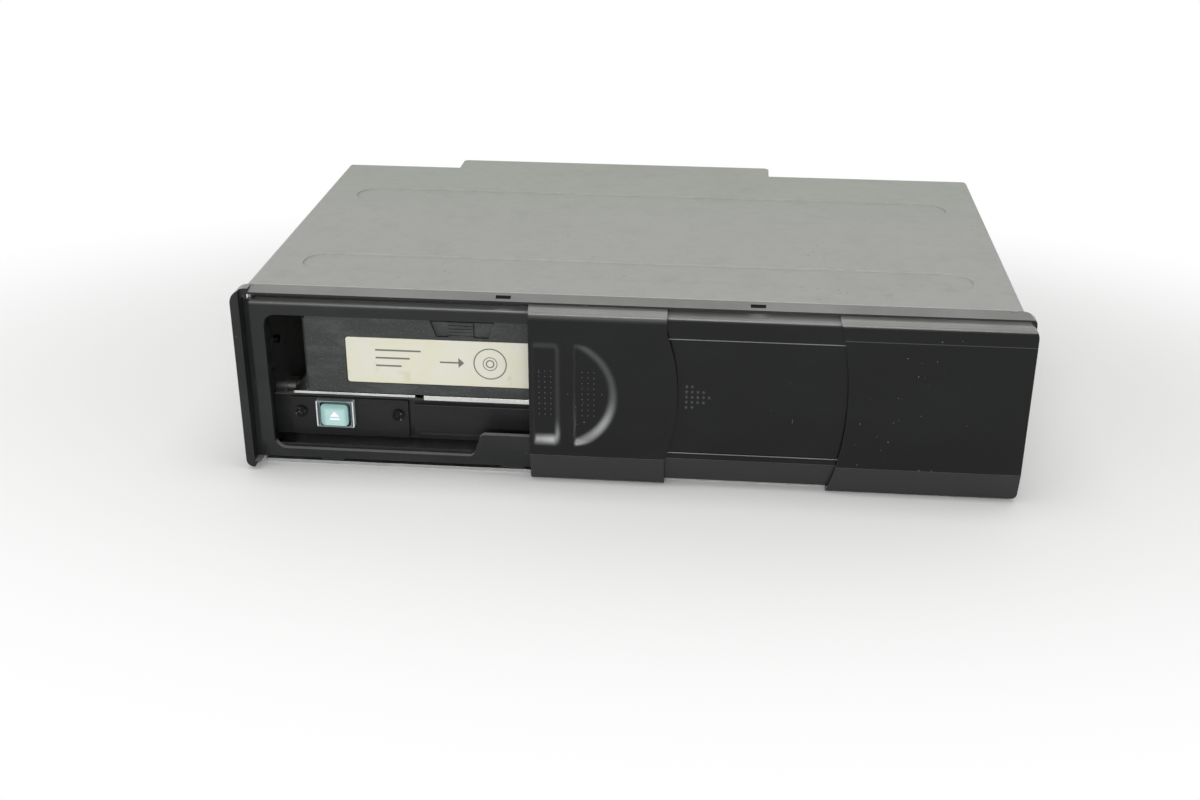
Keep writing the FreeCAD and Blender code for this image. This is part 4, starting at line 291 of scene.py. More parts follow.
def clearCollar():
    # clear plastic around the key: dark to look into, with painted highlights along its outer and inner edges
    look = {"middle": (-102.7, 18.1), "half": 6.7, "rise": 5.05, "rim": 0.42, "inner": (5.5, 4.5),
            "deep": (58, 66, 68), "edgeHighlight": (216, 223, 225), "dimHighlight": (132, 144, 146)}
    made = Finish("clearCollar", screenColour(*look["deep"]), 0.1)
    here, axes = made.place()
    across = abs(axes[0] / mm - look["middle"][0])
    above = abs(axes[2] / mm - look["middle"][1])
    haze = made.noise(here, 700, 3)
    sides = across.ramp(look["half"] - look["rim"] - 0.08, look["half"] - look["rim"])
    ends = above.ramp(look["rise"] - look["rim"] - 0.08, look["rise"] - look["rim"])
    innerHalf, innerRise = look["inner"]
    step = (1 - abs(across - innerHalf).ramp(0.1, 0.25)) * (1 - above.ramp(innerRise, innerRise + 0.2))
    # painted highlights: paler lines along the inner step, the ends and the outer sides
    tone = made.blend(step * (0.3 + haze * 0.7), screenColour(*look["deep"]), screenColour(*look["dimHighlight"]))
    tone = made.blend(ends * (0.35 + haze * 0.5), tone, screenColour(*look["dimHighlight"]))
    tone = made.blend(sides * (0.6 + haze * 0.6).lower(1.0), tone, screenColour(*look["edgeHighlight"]))
    made.drive(Base_Color=tone, Roughness=0.05 + haze * 0.12)
    made.put(made.shader, {"Coat Weight": 0.7})
    return made.material


def labelPaper():
    # cream printed label: two ruled lines, and a plain disc symbol beside an arrow, all generic
    look = {"paper": (205, 204, 191), "aged": (205, 202, 172), "stain": (150, 142, 108), "ink": (62, 62, 60),
            "left": -97.7, "low": 30.0, "disc": (-47.5, 38.6), "outer": 5.6, "middle": 2.4, "inner": 1.3,
            "line": 0.22, "shaft": (-65.0, -57.0, 0.3), "head": -58.5,
            "ruled": ((42.3, -87.5, -71.5), (39.4, -87.5, -75.5), (36.5, -87.5, -78.5)), "ruledHalf": 0.32}
    made = Finish("labelPaper", screenColour(*look["paper"]), 0.5)
    here, axes = made.place()
    x, z = axes[0] / mm, axes[2] / mm
    discX, discZ = look["disc"]
    gapX, gapZ = x - discX, z - discZ
    reach = made.add("ShaderNodeMath", {"operation": "SQRT"}, {0: gapX * gapX + gapZ * gapZ})[0]

    def stroke(distance, half):
        return 1 - abs(distance).ramp(half * 0.7, half * 1.3)

    def within(value, low, high):
        return value.ramp(low - 0.05, low + 0.05) * (1 - value.ramp(high - 0.05, high + 0.05))

    ink = stroke(reach - look["outer"], look["line"]).higher(stroke(reach - look["inner"], look["line"]))
    ink = ink.higher(stroke(reach - look["middle"], look["line"] * 0.7))
    start, end, half = look["shaft"]
    shaft = stroke(gapZ, half) * within(x, start, end)
    head = (1 - (abs(gapZ) * 1.1 + (x - look["head"])).ramp(1.9, 2.1)) * x.ramp(look["head"] - 0.1,
                                                                                look["head"])
    ink = ink.higher(shaft).higher(head)
    for height, start, end in look["ruled"]:
        ink = ink.higher(stroke(z - height, look["ruledHalf"]) * within(x, start, end))
    age = made.noise(here, 60, 5, 0.6)
    edge = (1 - (x - look["left"]).ramp(0.0, 7.0)).higher(1 - (z - look["low"]).ramp(0.0, 3.2))
    dirt = age.ramp(0.46, 0.7) * 0.55 + edge * age * 0.7
    stain = made.noise(here, 95, 3).ramp(0.64, 0.74) * 0.25
    paper = made.blend(dirt.lower(1.0), screenColour(*look["paper"]), screenColour(*look["aged"]))
    paper = made.blend(stain, paper, screenColour(*look["stain"]))
    printed = made.blend(ink * 0.86, paper, screenColour(*look["ink"]))
    made.drive(Base_Color=printed, Roughness=0.42 + age * 0.2)
    made.bump(age, 0.00004, 0.3)
    return made.material


def circuitBoard():
    made = Finish("circuitBoard", screenColour(34, 92, 58), 0.4)
    here, axes = made.place()
    tracks = made.add("ShaderNodeTexWave", {"bands_direction": "X"}, {"Vector": here, "Scale": 240.0,
                                                                        "Distortion": 9.0, "Detail": 2.0})[1]
    tone = made.blend(tracks.ramp(0.6, 0.75) * 0.6, screenColour(26, 78, 48), screenColour(70, 130, 84))
    made.drive(Base_Color=tone, Roughness=0.3 + tracks * 0.2)
    made.bump(tracks.ramp(0.6, 0.75), 0.00004, 0.6)
    return made.material


def plainPolymer(name, colour, rough, tint=(255, 255, 255)):
    # smooth plastic or rubber with a soft cloud of wear
    made = Finish(name, screenColour(*colour), rough)
    here, axes = made.place()
    cloud = made.noise(here, 180, 4)
    other = tuple(value * 0.85 + 0.15 * shade for value, shade in zip(colour, tint))
    made.drive(Base_Color=made.blend(cloud.ramp(0.35, 0.7), screenColour(*colour), screenColour(*other)),
               Roughness=rough + cloud * 0.18 - 0.06)
    made.bump(made.noise(here, 2200, 2), 0.00004, 0.4)
    return made.material


def lensGlass():
    made = Finish("lensGlass", screenColour(86, 92, 132), 0.08)
    here, axes = made.place()
    coat = made.noise(here, 300, 2)
    made.drive(Base_Color=made.blend(coat, screenColour(60, 66, 112), screenColour(116, 96, 138)),
               Roughness=0.04 + coat * 0.08)
    made.put(made.shader, {"Coat Weight": 0.8})
    return made.material


finishes = {
    "greyPaint": greyPaint(),
    "frameBlack": mouldedPlastic("frameBlack", (31, 32, 32), 0.22, 0.75),
    "doorBlack": mouldedPlastic("doorBlack", (11, 12, 12), 0.19, 0.8, 0.5, (10.85,), 10.7, None, "rubbed"),
    "panelBlack": mouldedPlastic("panelBlack", (11, 12, 12), 0.19, 0.8, 0.5, (10.85,), 10.7,
                                 (18, 20, 48, -78.96)),
    "coverBlack": mouldedPlastic("coverBlack", (10, 11, 11), 0.19, 0.8, 0.5, (57.15, 10.85), 10.7),
    # the dots are painted paler: the highlights of their small domes, and finger wear
    "dotHighlightAndWear": mouldedPlastic("dotHighlightAndWear", (66, 67, 68), 0.28, 0.2),
    # the panel's ridges are painted pale: a painted highlight line along each
    "ridgeHighlight": mouldedPlastic("ridgeHighlight", (98, 99, 101), 0.28, 0.2),
    "plateBlack": mouldedPlastic("plateBlack", (22, 22, 23), 0.4, 0.06),
    "magazineBlack": grainedPlastic("magazineBlack", (32, 35, 35), 0.5),
    "labelPaper": labelPaper(),
    "key": keyPlastic(),
    "clear": clearCollar(),
    "blackScrew": blackScrew(),
    "zinc": platedSteel("zinc", (188, 190, 188), 0.34),
    "cradleZinc": platedSteel("cradleZinc", (214, 215, 212), 0.26),
    "polished": platedSteel("polished", (205, 206, 208), 0.14, (1.0, 1.0, 30.0)),
    "motorCan": platedSteel("motorCan", (168, 170, 170), 0.3, (1.0, 1.0, 30.0)),
    "board": circuitBoard(),
    "acetal": plainPolymer("acetal", (214, 208, 190), 0.38),
    "tray": plainPolymer("tray", (58, 59, 62), 0.4),
    "darkPlastic": plainPolymer("darkPlastic", (28, 28, 30), 0.42),
    "rubber": plainPolymer("rubber", (26, 26, 27), 0.72),
    "dial": plainPolymer("dial", (206, 204, 196), 0.42, (150, 140, 120)),
    "lensGlass": lensGlass(),
}
print("finishes made:", len(finishes))

nodeFinish = {
    "top_cover": "greyPaint", "chassis": "zinc", "front_bezel": "frameBlack", "right_cover": "coverBlack",
    "middle_door": "panelBlack", "outer_door": "doorBlack", "case_screws": "blackScrew",
    "bezel_screws": "blackScrew", "key_screws": "blackScrew", "board_screws": "zinc", "eject_button": "key",
    "button_collar": "clear", "key_plate": "plateBlack", "lower_plate": "plateBlack",
    "switch_board": "board",
    "main_board": "board", "magazine_base": "magazineBlack", "magazine_lid": "magazineBlack",
    "magazine_catch": "magazineBlack", "magazine_label": "labelPaper", "magazine_cradle": "cradleZinc",
    "mech_frame": "zinc", "guide_posts": "polished", "lift_screw": "zinc", "lift_motor": "motorCan",
    "drive_plate": "zinc", "spindle_motor": "motorCan", "hinge_pin": "polished", "guide_rod": "polished",
    "sled_motor": "motorCan", "loading_motor": "motorCan", "sled_screw": "zinc", "clamp_arm": "zinc",
    "clamper": "darkPlastic", "turntable": "darkPlastic", "pickup_sled": "darkPlastic", "lens": "lensGlass",
    "oil_dampers": "rubber", "suspension_springs": "polished", "din_socket_1": "darkPlastic",
    "din_socket_2": "darkPlastic", "fibre_socket": "darkPlastic", "float_dial_left": "dial",
    "float_dial_right": "dial", "lift_pinion": "acetal", "loading_wheel": "acetal",
    "loading_pinion": "acetal", "lift_idler_1": "acetal", "lift_idler_2": "acetal", "lift_idler_3": "acetal",
}
nodeFinish.update({f"tray_{level}": "tray" for level in range(1, 7)})

for name, item in nodes.items():
    item.data.materials.clear()
    item.data.materials.append(finishes[nodeFinish[name]])


# ---- soft edges on the rigid nodes

def edgeTree(name, wide):
    # shades faces smooth and edges sharp above 33 degrees; the sharper edges get a bevel weight of 1 inside
    # the boxes listed in wide, and elsewhere the share of it that is wide's first entry
    tree = bpy.data.node_groups.new(name, "GeometryNodeTree")
    tree.interface.new_socket("Geometry", in_out="INPUT", socket_type="NodeSocketGeometry")
    tree.interface.new_socket("Geometry", in_out="OUTPUT", socket_type="NodeSocketGeometry")

    def add(kind, settings, values):
        node = tree.nodes.new(kind)
        for key, value in settings.items():
            setattr(node, key, value)
        for key, value in values.items():
            if isinstance(value, bpy.types.NodeSocket):
                tree.links.new(value, node.inputs[key])
            else:
                node.inputs[key].default_value = value
        return node.outputs

    def maths(operation, first, second):
        return add("ShaderNodeMath", {"operation": operation}, {0: first, 1: second})[0]

    angle = add("GeometryNodeInputMeshEdgeAngle", {}, {})[0]
    axes = add("ShaderNodeSeparateXYZ", {}, {0: add("GeometryNodeInputPosition", {}, {})[0]})
    weight = wide[0]
    for box in wide[1:]:
        inside = 1.0
        for axis, (low, high) in enumerate(zip(box[:3], box[3:6])):
            inside = maths("MULTIPLY", inside, maths("GREATER_THAN", axes[axis], low * mm))
            inside = maths("MULTIPLY", inside, maths("LESS_THAN", axes[axis], high * mm))
        share = box[6] - wide[0]
        weight = maths("ADD", weight, maths("MULTIPLY", inside, share))
    weight = maths("MULTIPLY", weight, maths("GREATER_THAN", angle, math.radians(38)))
    flat = add("FunctionNodeCompare", {"operation": "LESS_THAN"}, {0: angle, 1: math.radians(33)})[0]
    shape = add("NodeGroupInput", {}, {})[0]
    shape = add("GeometryNodeSetShadeSmooth", {"domain": "FACE"}, {"Geometry": shape})[0]
    shape = add("GeometryNodeSetShadeSmooth", {"domain": "EDGE"},
                {"Geometry": shape, "Shade Smooth": flat})[0]
    shape = add("GeometryNodeStoreNamedAttribute", {"data_type": "FLOAT", "domain": "EDGE"},
                {"Geometry": shape, "Name": "bevel_weight_edge", "Value": weight})[0]
    add("NodeGroupOutput", {}, {0: shape})
    return tree


plainEdges = edgeTree("plainEdges", [1.0])


def softEdges(item, width, wide=None):
    weld = item.modifiers.new("weld", "WELD")
    weld.merge_threshold = 0.000004
    flat = item.modifiers.new("flat", "DECIMATE")
    flat.decimate_type, flat.angle_limit = "DISSOLVE", math.radians(0.6)
    marks = item.modifiers.new("marks", "NODES")
    marks.node_group = edgeTree(item.name + "Edges", wide) if wide else plainEdges
    if width:
        bevel = item.modifiers.new("bevel", "BEVEL")
        bevel.width, bevel.segments, bevel.limit_method = width * mm, 3 if wide else 2, "WEIGHT"
        bevel.use_clamp_overlap = True
    weigh = item.modifiers.new("weigh", "WEIGHTED_NORMAL")
    weigh.keep_sharp = True


edgeWidths = {
    "top_cover": 0.22, "middle_door": 0.14, "eject_button": 0.6, "button_collar": 0.12, "key_plate": 0.15,
    "lower_plate": 0.15, "magazine_base": 0.3, "magazine_lid": 0.3, "magazine_catch": 0.08,
    "magazine_cradle": 0.12, "din_socket_1": 0.15, "din_socket_2": 0.15, "fibre_socket": 0.2,
    "float_dial_left": 0.2, "float_dial_right": 0.2, "case_screws": 0.12, "bezel_screws": 0.1,
    "key_screws": 0.12, "chassis": 0.12,
}
# boxes of edges with their low corner, high corner and share of the width
bezelBoxes = [
    (-128.0, -79.3, 65.2, 133.0, -78.9, 66.2, 0.25),  # front edge of the top band
    (-133.5, -78.1, 6.9, 20.6, -77.3, 58.3, 0.75),  # edges of the window
    (-133.5, -81.0, 0.5, -129.8, -80.4, 70, 0.9),  # outer rim on the left
]
coverBoxes = [(132.5, -82, 3.5, 133.5, -79.0, 61.5, 0.9)]  # right edge of the face
# width of the widest edges, then the share that all others get and the boxes
wideEdges = {"front_bezel": (1.3, [0.22, *bezelBoxes]), "right_cover": (1.0, [0.3, *coverBoxes])}
for name, item in nodes.items():
    if name in wideEdges:
        softEdges(item, *wideEdges[name])
    else:
        softEdges(item, edgeWidths.get(name, 0))
print("edges softened")


# ---- mesh helpers

def gridFaces(rows, columns):
    # the quads of a grid of rows by columns points, in rows
    first = (np.arange(rows - 1)[:, None] * columns + np.arange(columns - 1)).ravel()
    return np.stack([first, first + 1, first + columns + 1, first + columns], 1)


def newPiece(name, points, faces, finish, body=None):
    mesh = bpy.data.meshes.new(name)
    mesh.from_pydata(points.reshape(-1, 3).tolist(), [], faces.tolist())
    mesh.polygons.foreach_set("use_smooth", np.full(len(mesh.polygons), True))
    mesh.materials.append(finishes[finish])
    mesh.validate()
    item = bpy.data.objects.new(name, mesh)
    bpy.context.scene.collection.objects.link(item)
    if body:
        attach(item, body)
    return item


def closedShell(outer, inner):
    # points and faces of a wall between two grids of the same size, its four rims closed
    rows, columns = outer.shape[:2]
    count = rows * columns
    order = np.arange(count).reshape(rows, columns)
    border = np.concatenate([order[0], order[1:, -1], order[-1, -2::-1], order[-2:0:-1, 0]])
    following = np.roll(border, -1)
    rim = np.stack([following, border, border + count, following + count], 1)
    front = gridFaces(rows, columns)
    faces = np.concatenate([front, front[:, ::-1] + count, rim])
    return np.concatenate([outer.reshape(-1, 3), inner.reshape(-1, 3)]), faces


def roundedPath(corners, radius, steps=7):
    # a polyline with each inner corner replaced by the curve (1-t)^2 A + 2t(1-t) C + t^2 B
    corners = np.array(corners, float)
    before, after = corners[:-2] - corners[1:-1], corners[2:] - corners[1:-1]
    longBefore, longAfter = np.linalg.norm(before, axis=1), np.linalg.norm(after, axis=1)
    cut = np.minimum(np.array(radius, float), 0.45 * np.minimum(longBefore, longAfter))[:, None]
    start = corners[1:-1] + before / longBefore[:, None] * cut
    end = corners[1:-1] + after / longAfter[:, None] * cut
    t = np.linspace(0, 1, steps)[None, :, None]
    curve = (1 - t) ** 2 * start[:, None] + 2 * t * (1 - t) * corners[1:-1, None] + t ** 2 * end[:, None]
    return np.concatenate([corners[:1], curve.reshape(-1, 2), corners[-1:]])


def distances(path):
    # how far along the path each of its points is
    return np.concatenate([[0], np.cumsum(np.linalg.norm(np.diff(path, axis=0), axis=1))])


def resampled(path, step):
    # the path with extra points, so that no two are more than step apart
    gone = distances(path)
    places = np.union1d(np.round(gone, 6), np.arange(0, gone[-1], step))
    keep = np.concatenate([[True], np.diff(places) > step * 0.12])
    places = places[keep]
    return np.stack([np.interp(places, gone, path[:, axis]) for axis in (0, 1)], 1)


def softStep(value):
    share = np.clip(value, 0, 1)
    return share * share * (3 - 2 * share)


# ---- outer door with its two finger hollows

door = {
    "left": -32.5, "right": 13.6, "bulge": 4.0, "creaseTop": 57.3, "creaseLow": 10.7, "wall": 1.35,
    "lipWall": 1.05, "front": -81.0, "step": 0.42, "hollow": 1.27,
    "grip": (-31.4, -21.4, 14.0, 53.6), "thumb": (-17.6, 14.0, 53.6), "thumbCircle": (-23.67, 33.8, 21.95),
}


def doorProfile(inset, lipInset):
    # front layer from the upper lip, over the brow, down the face and the chin to the lower lip, as (y, z)
    return roundedPath([
        (7.0, 65.0 - lipInset), (3.3 + 0.3 * inset, 65.0 - lipInset),
        (1.75 + 0.7 * inset, 64.35 - 0.75 * lipInset),
        (0.62 + 0.9 * inset, 62.9 - 0.4 * lipInset), (0.15 + inset, 60.8 - 0.1 * lipInset), (inset, 57.3),
        (inset, 10.7), (2.2 + inset, 1.3 + 0.9 * lipInset), (3.0 + 0.8 * inset, 0.4 + lipInset),
        (6.0, 0.4 + lipInset)], [0.9, 1.1, 1.2, 1.2, 1.5, 0.8, 0.9, 0.7])


def doorEdge(height):
    # x of the door's right edge: straight beyond the creases, a shallow arc between them
    middle, half = (door["creaseTop"] + door["creaseLow"]) / 2, (door["creaseTop"] - door["creaseLow"]) / 2
    radius = (half ** 2 + door["bulge"] ** 2) / (2 * door["bulge"])
    away = np.clip(np.abs(height - middle), 0, half)
    return door["right"] + np.sqrt(radius ** 2 - away ** 2) - radius + door["bulge"]


def hollowDepth(x, z):
    # a grip with four soft sides, and a thumb hollow that is straight on the left and runs out along an arc
    left, right, low, high = door["grip"]
    grip = softStep((x - left) / 0.9) * softStep((right - x) / 3.0) * softStep((z - low) / 5.2) \
        * softStep((high - z) / 4.4)
    left, low, high = door["thumb"]
    middleX, middleZ, radius = door["thumbCircle"]
    toArc = radius - np.hypot(x - middleX, z - middleZ)
    thumb = softStep(x - left) * softStep(toArc / 4.8) * softStep((z - low) / 3.0) \
        * softStep((high - z) / 3.0)
    return door["hollow"] * np.maximum(grip, thumb)


def hollowRubAndHighlight(x, z, depth):
    # 1 on the middle of a hollow's sloping walls, and most at the lower right of each hollow: finger wear,
    # and where a highlight is painted
    look = {"thumb": (-8.0, 23.0, 7.5), "grip": (-24.6, 18.2, 3.6), "left": -18.5, "least": 0.2}
    wall = 4 * (depth / door["hollow"]) * (1 - depth / door["hollow"])
    nearest = 0 * x
    for middleX, middleZ, spread in (look["thumb"], look["grip"]):
        nearest = np.maximum(nearest, np.exp(-(np.hypot(x - middleX, z - middleZ) / spread) ** 2))
    onRight = softStep((x - look["left"]) / 6)
    return wall ** 1.5 * (look["least"] * (0.4 + 0.6 * onRight) + (1 - look["least"]) * nearest)


def outerDoor():
    skin = resampled(doorProfile(0, 0), door["step"])
    back = doorProfile(door["wall"], door["lipWall"])
    across = np.linspace(0, 1, int(46 / door["step"]))
    height = skin[:, 1]
    x = door["left"] + (doorEdge(height)[:, None] - door["left"]) * across
    onFace = softStep((height - 10.9) / 1.5) * softStep((57.0 - height) / 1.5)
    y = skin[:, 0][:, None] + hollowDepth(x, height[:, None] + 0 * x) * onFace[:, None]
    outer = np.stack([x, y + door["front"], height[:, None] + 0 * x], 2) * mm
    # each row of the inner wall lies at the same share of its profile's length as the outer row
    gone, goneBack = distances(skin), distances(back)
    backY, backZ = (np.interp(gone / gone[-1] * goneBack[-1], goneBack, back[:, axis]) for axis in (0, 1))
    inner = np.stack([x, backY[:, None] + 0 * x + door["front"], backZ[:, None] + 0 * x], 2) * mm
    points, faces = closedShell(outer, inner)
    item = newPiece("outerDoorShell", points, faces[:, ::-1], "doorBlack", "outer_door")
    # this attribute marks finger wear and the painted highlight in the hollows
    rubAndHighlightLayer = item.data.attributes.new("rubbed", "FLOAT", "POINT")
    sunk = y - skin[:, 0][:, None]
    outside = hollowRubAndHighlight(x, height[:, None] + 0 * x, sunk)
    rubAndHighlightLayer.data.foreach_set("value", np.concatenate([outside.ravel(), 0 * x.ravel()]))
    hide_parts("outer_door")
    return item


outerDoor()
print("outer door made")


# ---- grip dots

def dotField(name, centres, radius, rise, body, finish):
    # small domes at the centres: rings of radius cos t, at height rise sin t, t from 0 to a quarter turn
    sides = 8
    turn = np.linspace(0, 2 * np.pi, sides, endpoint=False)
    lift = np.array([0.0, 0.55, 1.0])[:, None] * np.pi / 2
    ring = radius * np.cos(lift)
    local = np.stack([ring * np.cos(turn), 0 * turn - rise * np.sin(lift), ring * np.sin(turn)],
                     2).reshape(-1, 3)
    start = (np.arange(len(lift) - 1)[:, None] * sides + np.arange(sides)).ravel()
    beside = (np.arange(len(lift) - 1)[:, None] * sides + (np.arange(sides) + 1) % sides).ravel()
    faces = np.stack([start, beside, beside + sides, start + sides], 1)
    centres = np.array(centres, float)
    points = (centres[:, None] + local[None]).reshape(-1, 3) * mm
    faces = (faces[None] + np.arange(len(centres))[:, None, None] * len(local)).reshape(-1, 4)
    item = newPiece(name, points, faces, finish, body)
    return item


def gripDots():
    # rows of dots on the floors of both hollows, level with the middle of the thumb's arc
    look = {"columns": (-29.2, -27.2, -25.2, -14.6, -12.6, -10.6), "rows": 9, "pitch": 2.0, "radius": 0.26,
            "rise": 0.2, "sunk": 0.05}
    steps = np.arange(look["rows"]) - (look["rows"] - 1) / 2
    floor = door["hollow"] + door["front"] + look["sunk"]
    heights = door["thumbCircle"][1] + steps * look["pitch"]
    spots = [(column, floor, z) for column in look["columns"] for z in heights]
    return dotField("gripDots", spots, look["radius"], look["rise"], "outer_door", "dotHighlightAndWear")


gripDots()
print("grip dots made")


def panelLines():
    # two thin half-round ridges along the panel of the middle door, painted pale as highlight lines
    look = {"radius": 0.17, "face": 1.74, "heights": (54.9, 13.1), "left": -17.0, "right": 90.0}
    turn = np.linspace(0, np.pi, 7)
    x = np.linspace(look["left"], look["right"], 40)
    pieces, faces = [], []
    for number, height in enumerate(look["heights"]):
        grid = np.stack([x[:, None] + 0 * turn,
                         look["face"] + door["front"] - look["radius"] * np.sin(turn) + 0 * x[:, None],
                         height + look["radius"] * np.cos(turn) + 0 * x[:, None]], 2)
        faces.append(gridFaces(len(x), len(turn)) + number * grid.size // 3)
        pieces.append(grid.reshape(-1, 3))
    item = newPiece("panelLines", np.concatenate(pieces) * mm, np.concatenate(faces), "ridgeHighlight",
                    "middle_door")


panelLines()
print("panel lines made")


# ---- springs and dampers that stretch between the case and the floating frame

spring = {"coil": 0.95, "wire": 0.25, "turns": 12, "steps": 20, "sides": 8}
damper = {"foot": 6.0, "top": 4.8, "waist": 0.9, "steps": 14, "sides": 28}


def tube(path, side, radius, sides):
    # a ring of the radius round each point of the path: point + radius (cos a side + sin a (along x side))
    along = np.gradient(path, axis=0)
    along /= np.linalg.norm(along, axis=1)[:, None]
    angle = np.linspace(0, 2 * np.pi, sides, endpoint=False)[:, None]
    ring = side[:, None] * np.cos(angle) + np.cross(along, side)[:, None] * np.sin(angle)
    points = path[:, None] + ring * (radius + 0 * path[:, 0])[:, None, None]
    first = np.arange(len(path) - 1)[:, None] * sides + np.arange(sides)
    beside = np.arange(len(path) - 1)[:, None] * sides + (np.arange(sides) + 1) % sides
    walls = np.stack([first, beside, beside + sides, first + sides], -1).reshape(-1, 4)
    # each end is closed with quads from its middle point
    one, last, count = np.arange(0, sides, 2), (len(path) - 1) * sides, len(path) * sides
    start = np.stack([count + 0 * one, (one + 2) % sides, one + 1, one], 1)
    end = np.stack([count + 1 + 0 * one, last + one, last + one + 1, last + (one + 2) % sides], 1)
    return np.concatenate([points.reshape(-1, 3), path[[0, -1]]]), np.concatenate([walls, start, end])


def joined(parts):
    # the points and faces of several meshes as one
    starts = np.cumsum([0] + [len(points) for points, faces in parts[:-1]])
    return np.concatenate([points for points, faces in parts]), \
        np.concatenate([faces + start for start, (points, faces) in zip(starts, parts)])


def suspensionSprings():
    # round wire on a helix: middle + coil (cos a, sin a), rising evenly with a
    low, high = (np.array(corner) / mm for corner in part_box("suspension_springs"))
    reach = spring["coil"] + spring["wire"]
    angle = np.linspace(0, 2 * np.pi * spring["turns"], spring["turns"] * spring["steps"] + 1)
    side = np.stack([np.cos(angle), np.sin(angle), 0 * angle], 1)
    rise = np.linspace(low[2] + spring["wire"], high[2] - spring["wire"], len(angle))
    coils = []
    for middle in (low[0] + reach, high[0] - reach):
        depth = (low[1] + high[1]) / 2
        path = side * spring["coil"] + np.stack([middle + 0 * angle, depth + 0 * angle, rise], 1)
        coils.append(tube(path * mm, side, spring["wire"] * mm, spring["sides"]))
    item = newPiece("suspensionCoils", *joined(coils), "polished")
    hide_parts("suspension_springs")
    return item, (0, 0, high[2] * mm), (0, 0, low[2] * mm)


def damperCups():
    # a cone of rubber turned about its middle, its radius less by a round waist: waist (1 - (2 t - 1)^2)
    low, high = (np.array(corner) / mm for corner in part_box("oil_dampers"))
    share = np.linspace(0, 1, damper["steps"])
    radius = damper["foot"] + (damper["top"] - damper["foot"]) * share
    radius -= damper["waist"] * (1 - (2 * share - 1) ** 2)
    side = np.tile([1.0, 0.0, 0.0], (damper["steps"], 1))
    cups = []
    for x in (low[0] + damper["foot"], high[0] - damper["foot"]):
        for y in (low[1] + damper["foot"], high[1] - damper["foot"]):
            path = np.stack([x + 0 * share, y + 0 * share, low[2] + (high[2] - low[2]) * share], 1)
            cups.append(tube(path * mm, side, radius * mm, damper["sides"]))
    item = newPiece("damperCups", *joined(cups), "rubber")
    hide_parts("oil_dampers")
    return item, (0, 0, low[2] * mm), (0, 0, high[2] * mm)


for item, still, moving in (suspensionSprings(), damperCups()):
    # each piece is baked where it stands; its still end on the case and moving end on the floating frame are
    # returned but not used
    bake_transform(item)
print("springs and dampers made")


# ---- floor, light and camera

studio = {
    "floor": (246, 246, 245), "half": 4.0, "sky": 0.4,
    # the floor turns plain white from near to far, with its width counted at narrow times its size
    "narrow": 0.62, "near": 0.1, "far": 0.25,
    "lamps": [
        # name, place, aim, width, depth, watts
        ("lampFront", (0.02, -1.24, 0.36), (0.0, -0.08, 0.06), 0.75, 0.1, 8.0),
        ("lampOver", (0.0, -0.05, 1.2), (0.0, -0.05, 0.03), 1.2, 0.5, 5.3),
        ("lampSide", (-0.78, -0.98, 0.46), (0.0, -0.08, 0.04), 0.9, 0.35, 2.0),
    ],
    "eye": (31.836, -532.294, 243.466), "turn": (65.0351, -0.1907, 5.1847), "lens": 44.626,
}


def aimed(place, target):
    return (Vector(target) - Vector(place)).to_track_quat("-Z", "Y").to_euler()


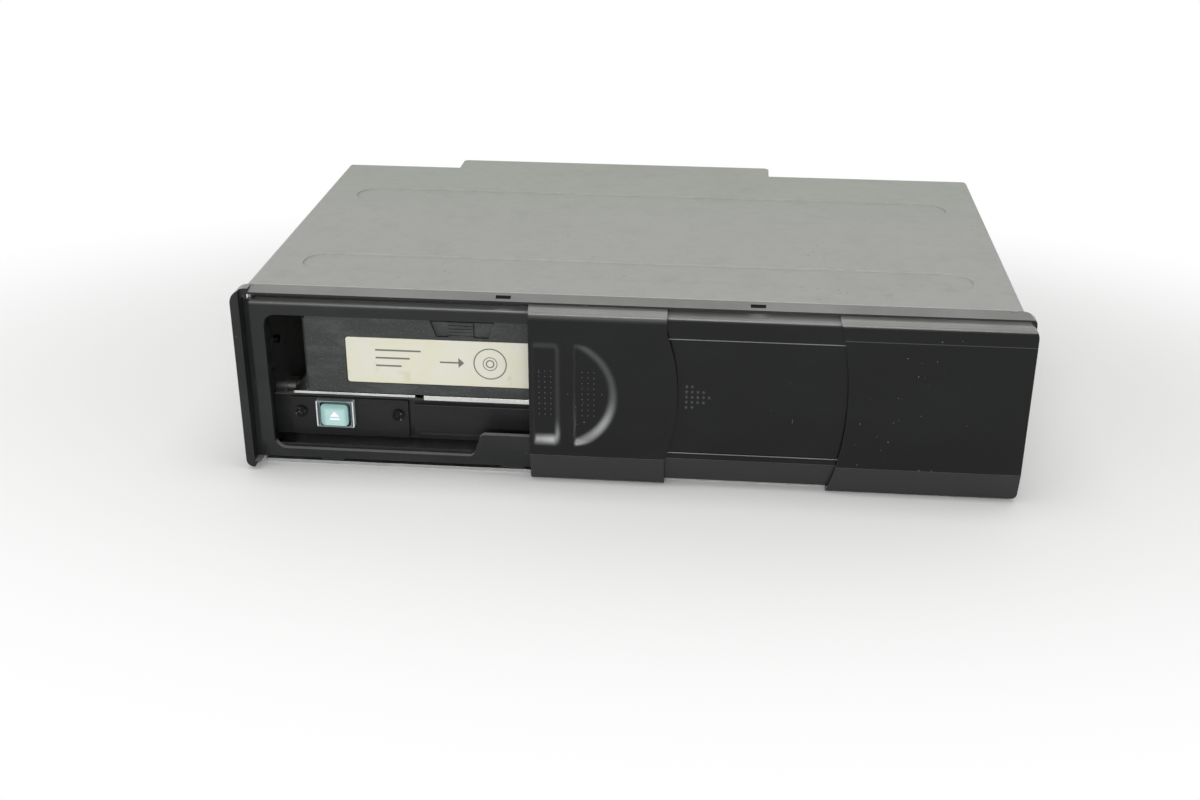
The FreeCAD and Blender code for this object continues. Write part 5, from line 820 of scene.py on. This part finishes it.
def makeStudio():
    half = studio["half"]
    corners = [(-half, -half, 0), (half, -half, 0), (half, half, 0), (-half, half, 0)]
    mesh = bpy.data.meshes.new("floor")
    mesh.from_pydata(corners, [], [(0, 1, 2, 3)])
    paper = Finish("floorPaper", screenColour(*studio["floor"]), 0.7)
    here, axes = paper.place()
    outline = paper.stretch(here, (studio["narrow"], 1.0, 1.0))
    away = paper.add("ShaderNodeVectorMath", {"operation": "LENGTH"}, {0: outline})[1]
    away = away.ramp(studio["near"], studio["far"])
    far = paper.add("ShaderNodeEmission", None, {"Color": (1, 1, 1, 1), "Strength": 1.0})[0]
    rays = paper.add("ShaderNodeLightPath")
    seen = rays[0].higher(rays[3]).higher(rays[6]) * away  # camera, glossy and transmission rays
    plain = Signal(paper, paper.shader.outputs[0])
    both = paper.add("ShaderNodeMixShader", None, {0: seen, 1: plain, 2: far})[0]
    paper.put(paper.tree.nodes["Material Output"], {"Surface": both})
    mesh.materials.append(paper.material)
    floor = bpy.data.objects.new("floor", mesh)
    bpy.context.scene.collection.objects.link(floor)
    for name, place, target, width, depth, watts in studio["lamps"]:
        lamp = bpy.data.lights.new(name, "AREA")
        lamp.shape, lamp.size, lamp.size_y, lamp.energy = "RECTANGLE", width, depth, watts
        item = bpy.data.objects.new(name, lamp)
        item.location, item.rotation_euler = place, aimed(place, target)
        bpy.context.scene.collection.objects.link(item)
    world = bpy.data.worlds.new("studioWorld")
    world.use_nodes = True
    tree = world.node_tree
    tree.nodes["Background"].inputs[0].default_value = (1, 1, 1, 1)
    rays = tree.nodes.new("ShaderNodeLightPath")
    seen = rays.outputs["Is Camera Ray"]
    for ray in ("Is Glossy Ray", "Is Transmission Ray"):
        either = tree.nodes.new("ShaderNodeMath")
        either.operation = "MAXIMUM"
        tree.links.new(seen, either.inputs[0])
        tree.links.new(rays.outputs[ray], either.inputs[1])
        seen = either.outputs[0]
    level = tree.nodes.new("ShaderNodeMapRange")
    level.inputs["To Min"].default_value, level.inputs["To Max"].default_value = studio["sky"], 1.0
    tree.links.new(seen, level.inputs["Value"])
    tree.links.new(level.outputs[0], tree.nodes["Background"].inputs[1])
    bpy.context.scene.world = world
    camera = bpy.data.cameras.new("camera")
    camera.lens, camera.sensor_width = studio["lens"], 36.0
    camera.clip_start, camera.clip_end = 0.01, 20
    item = bpy.data.objects.new("camera", camera)
    item.location = np.array(studio["eye"]) * mm
    item.rotation_euler = [math.radians(angle) for angle in studio["turn"]]
    bpy.context.scene.collection.objects.link(item)
    bpy.context.scene.camera = item
    bpy.context.scene.view_settings.view_transform = "Standard"


makeStudio()
print("studio made")
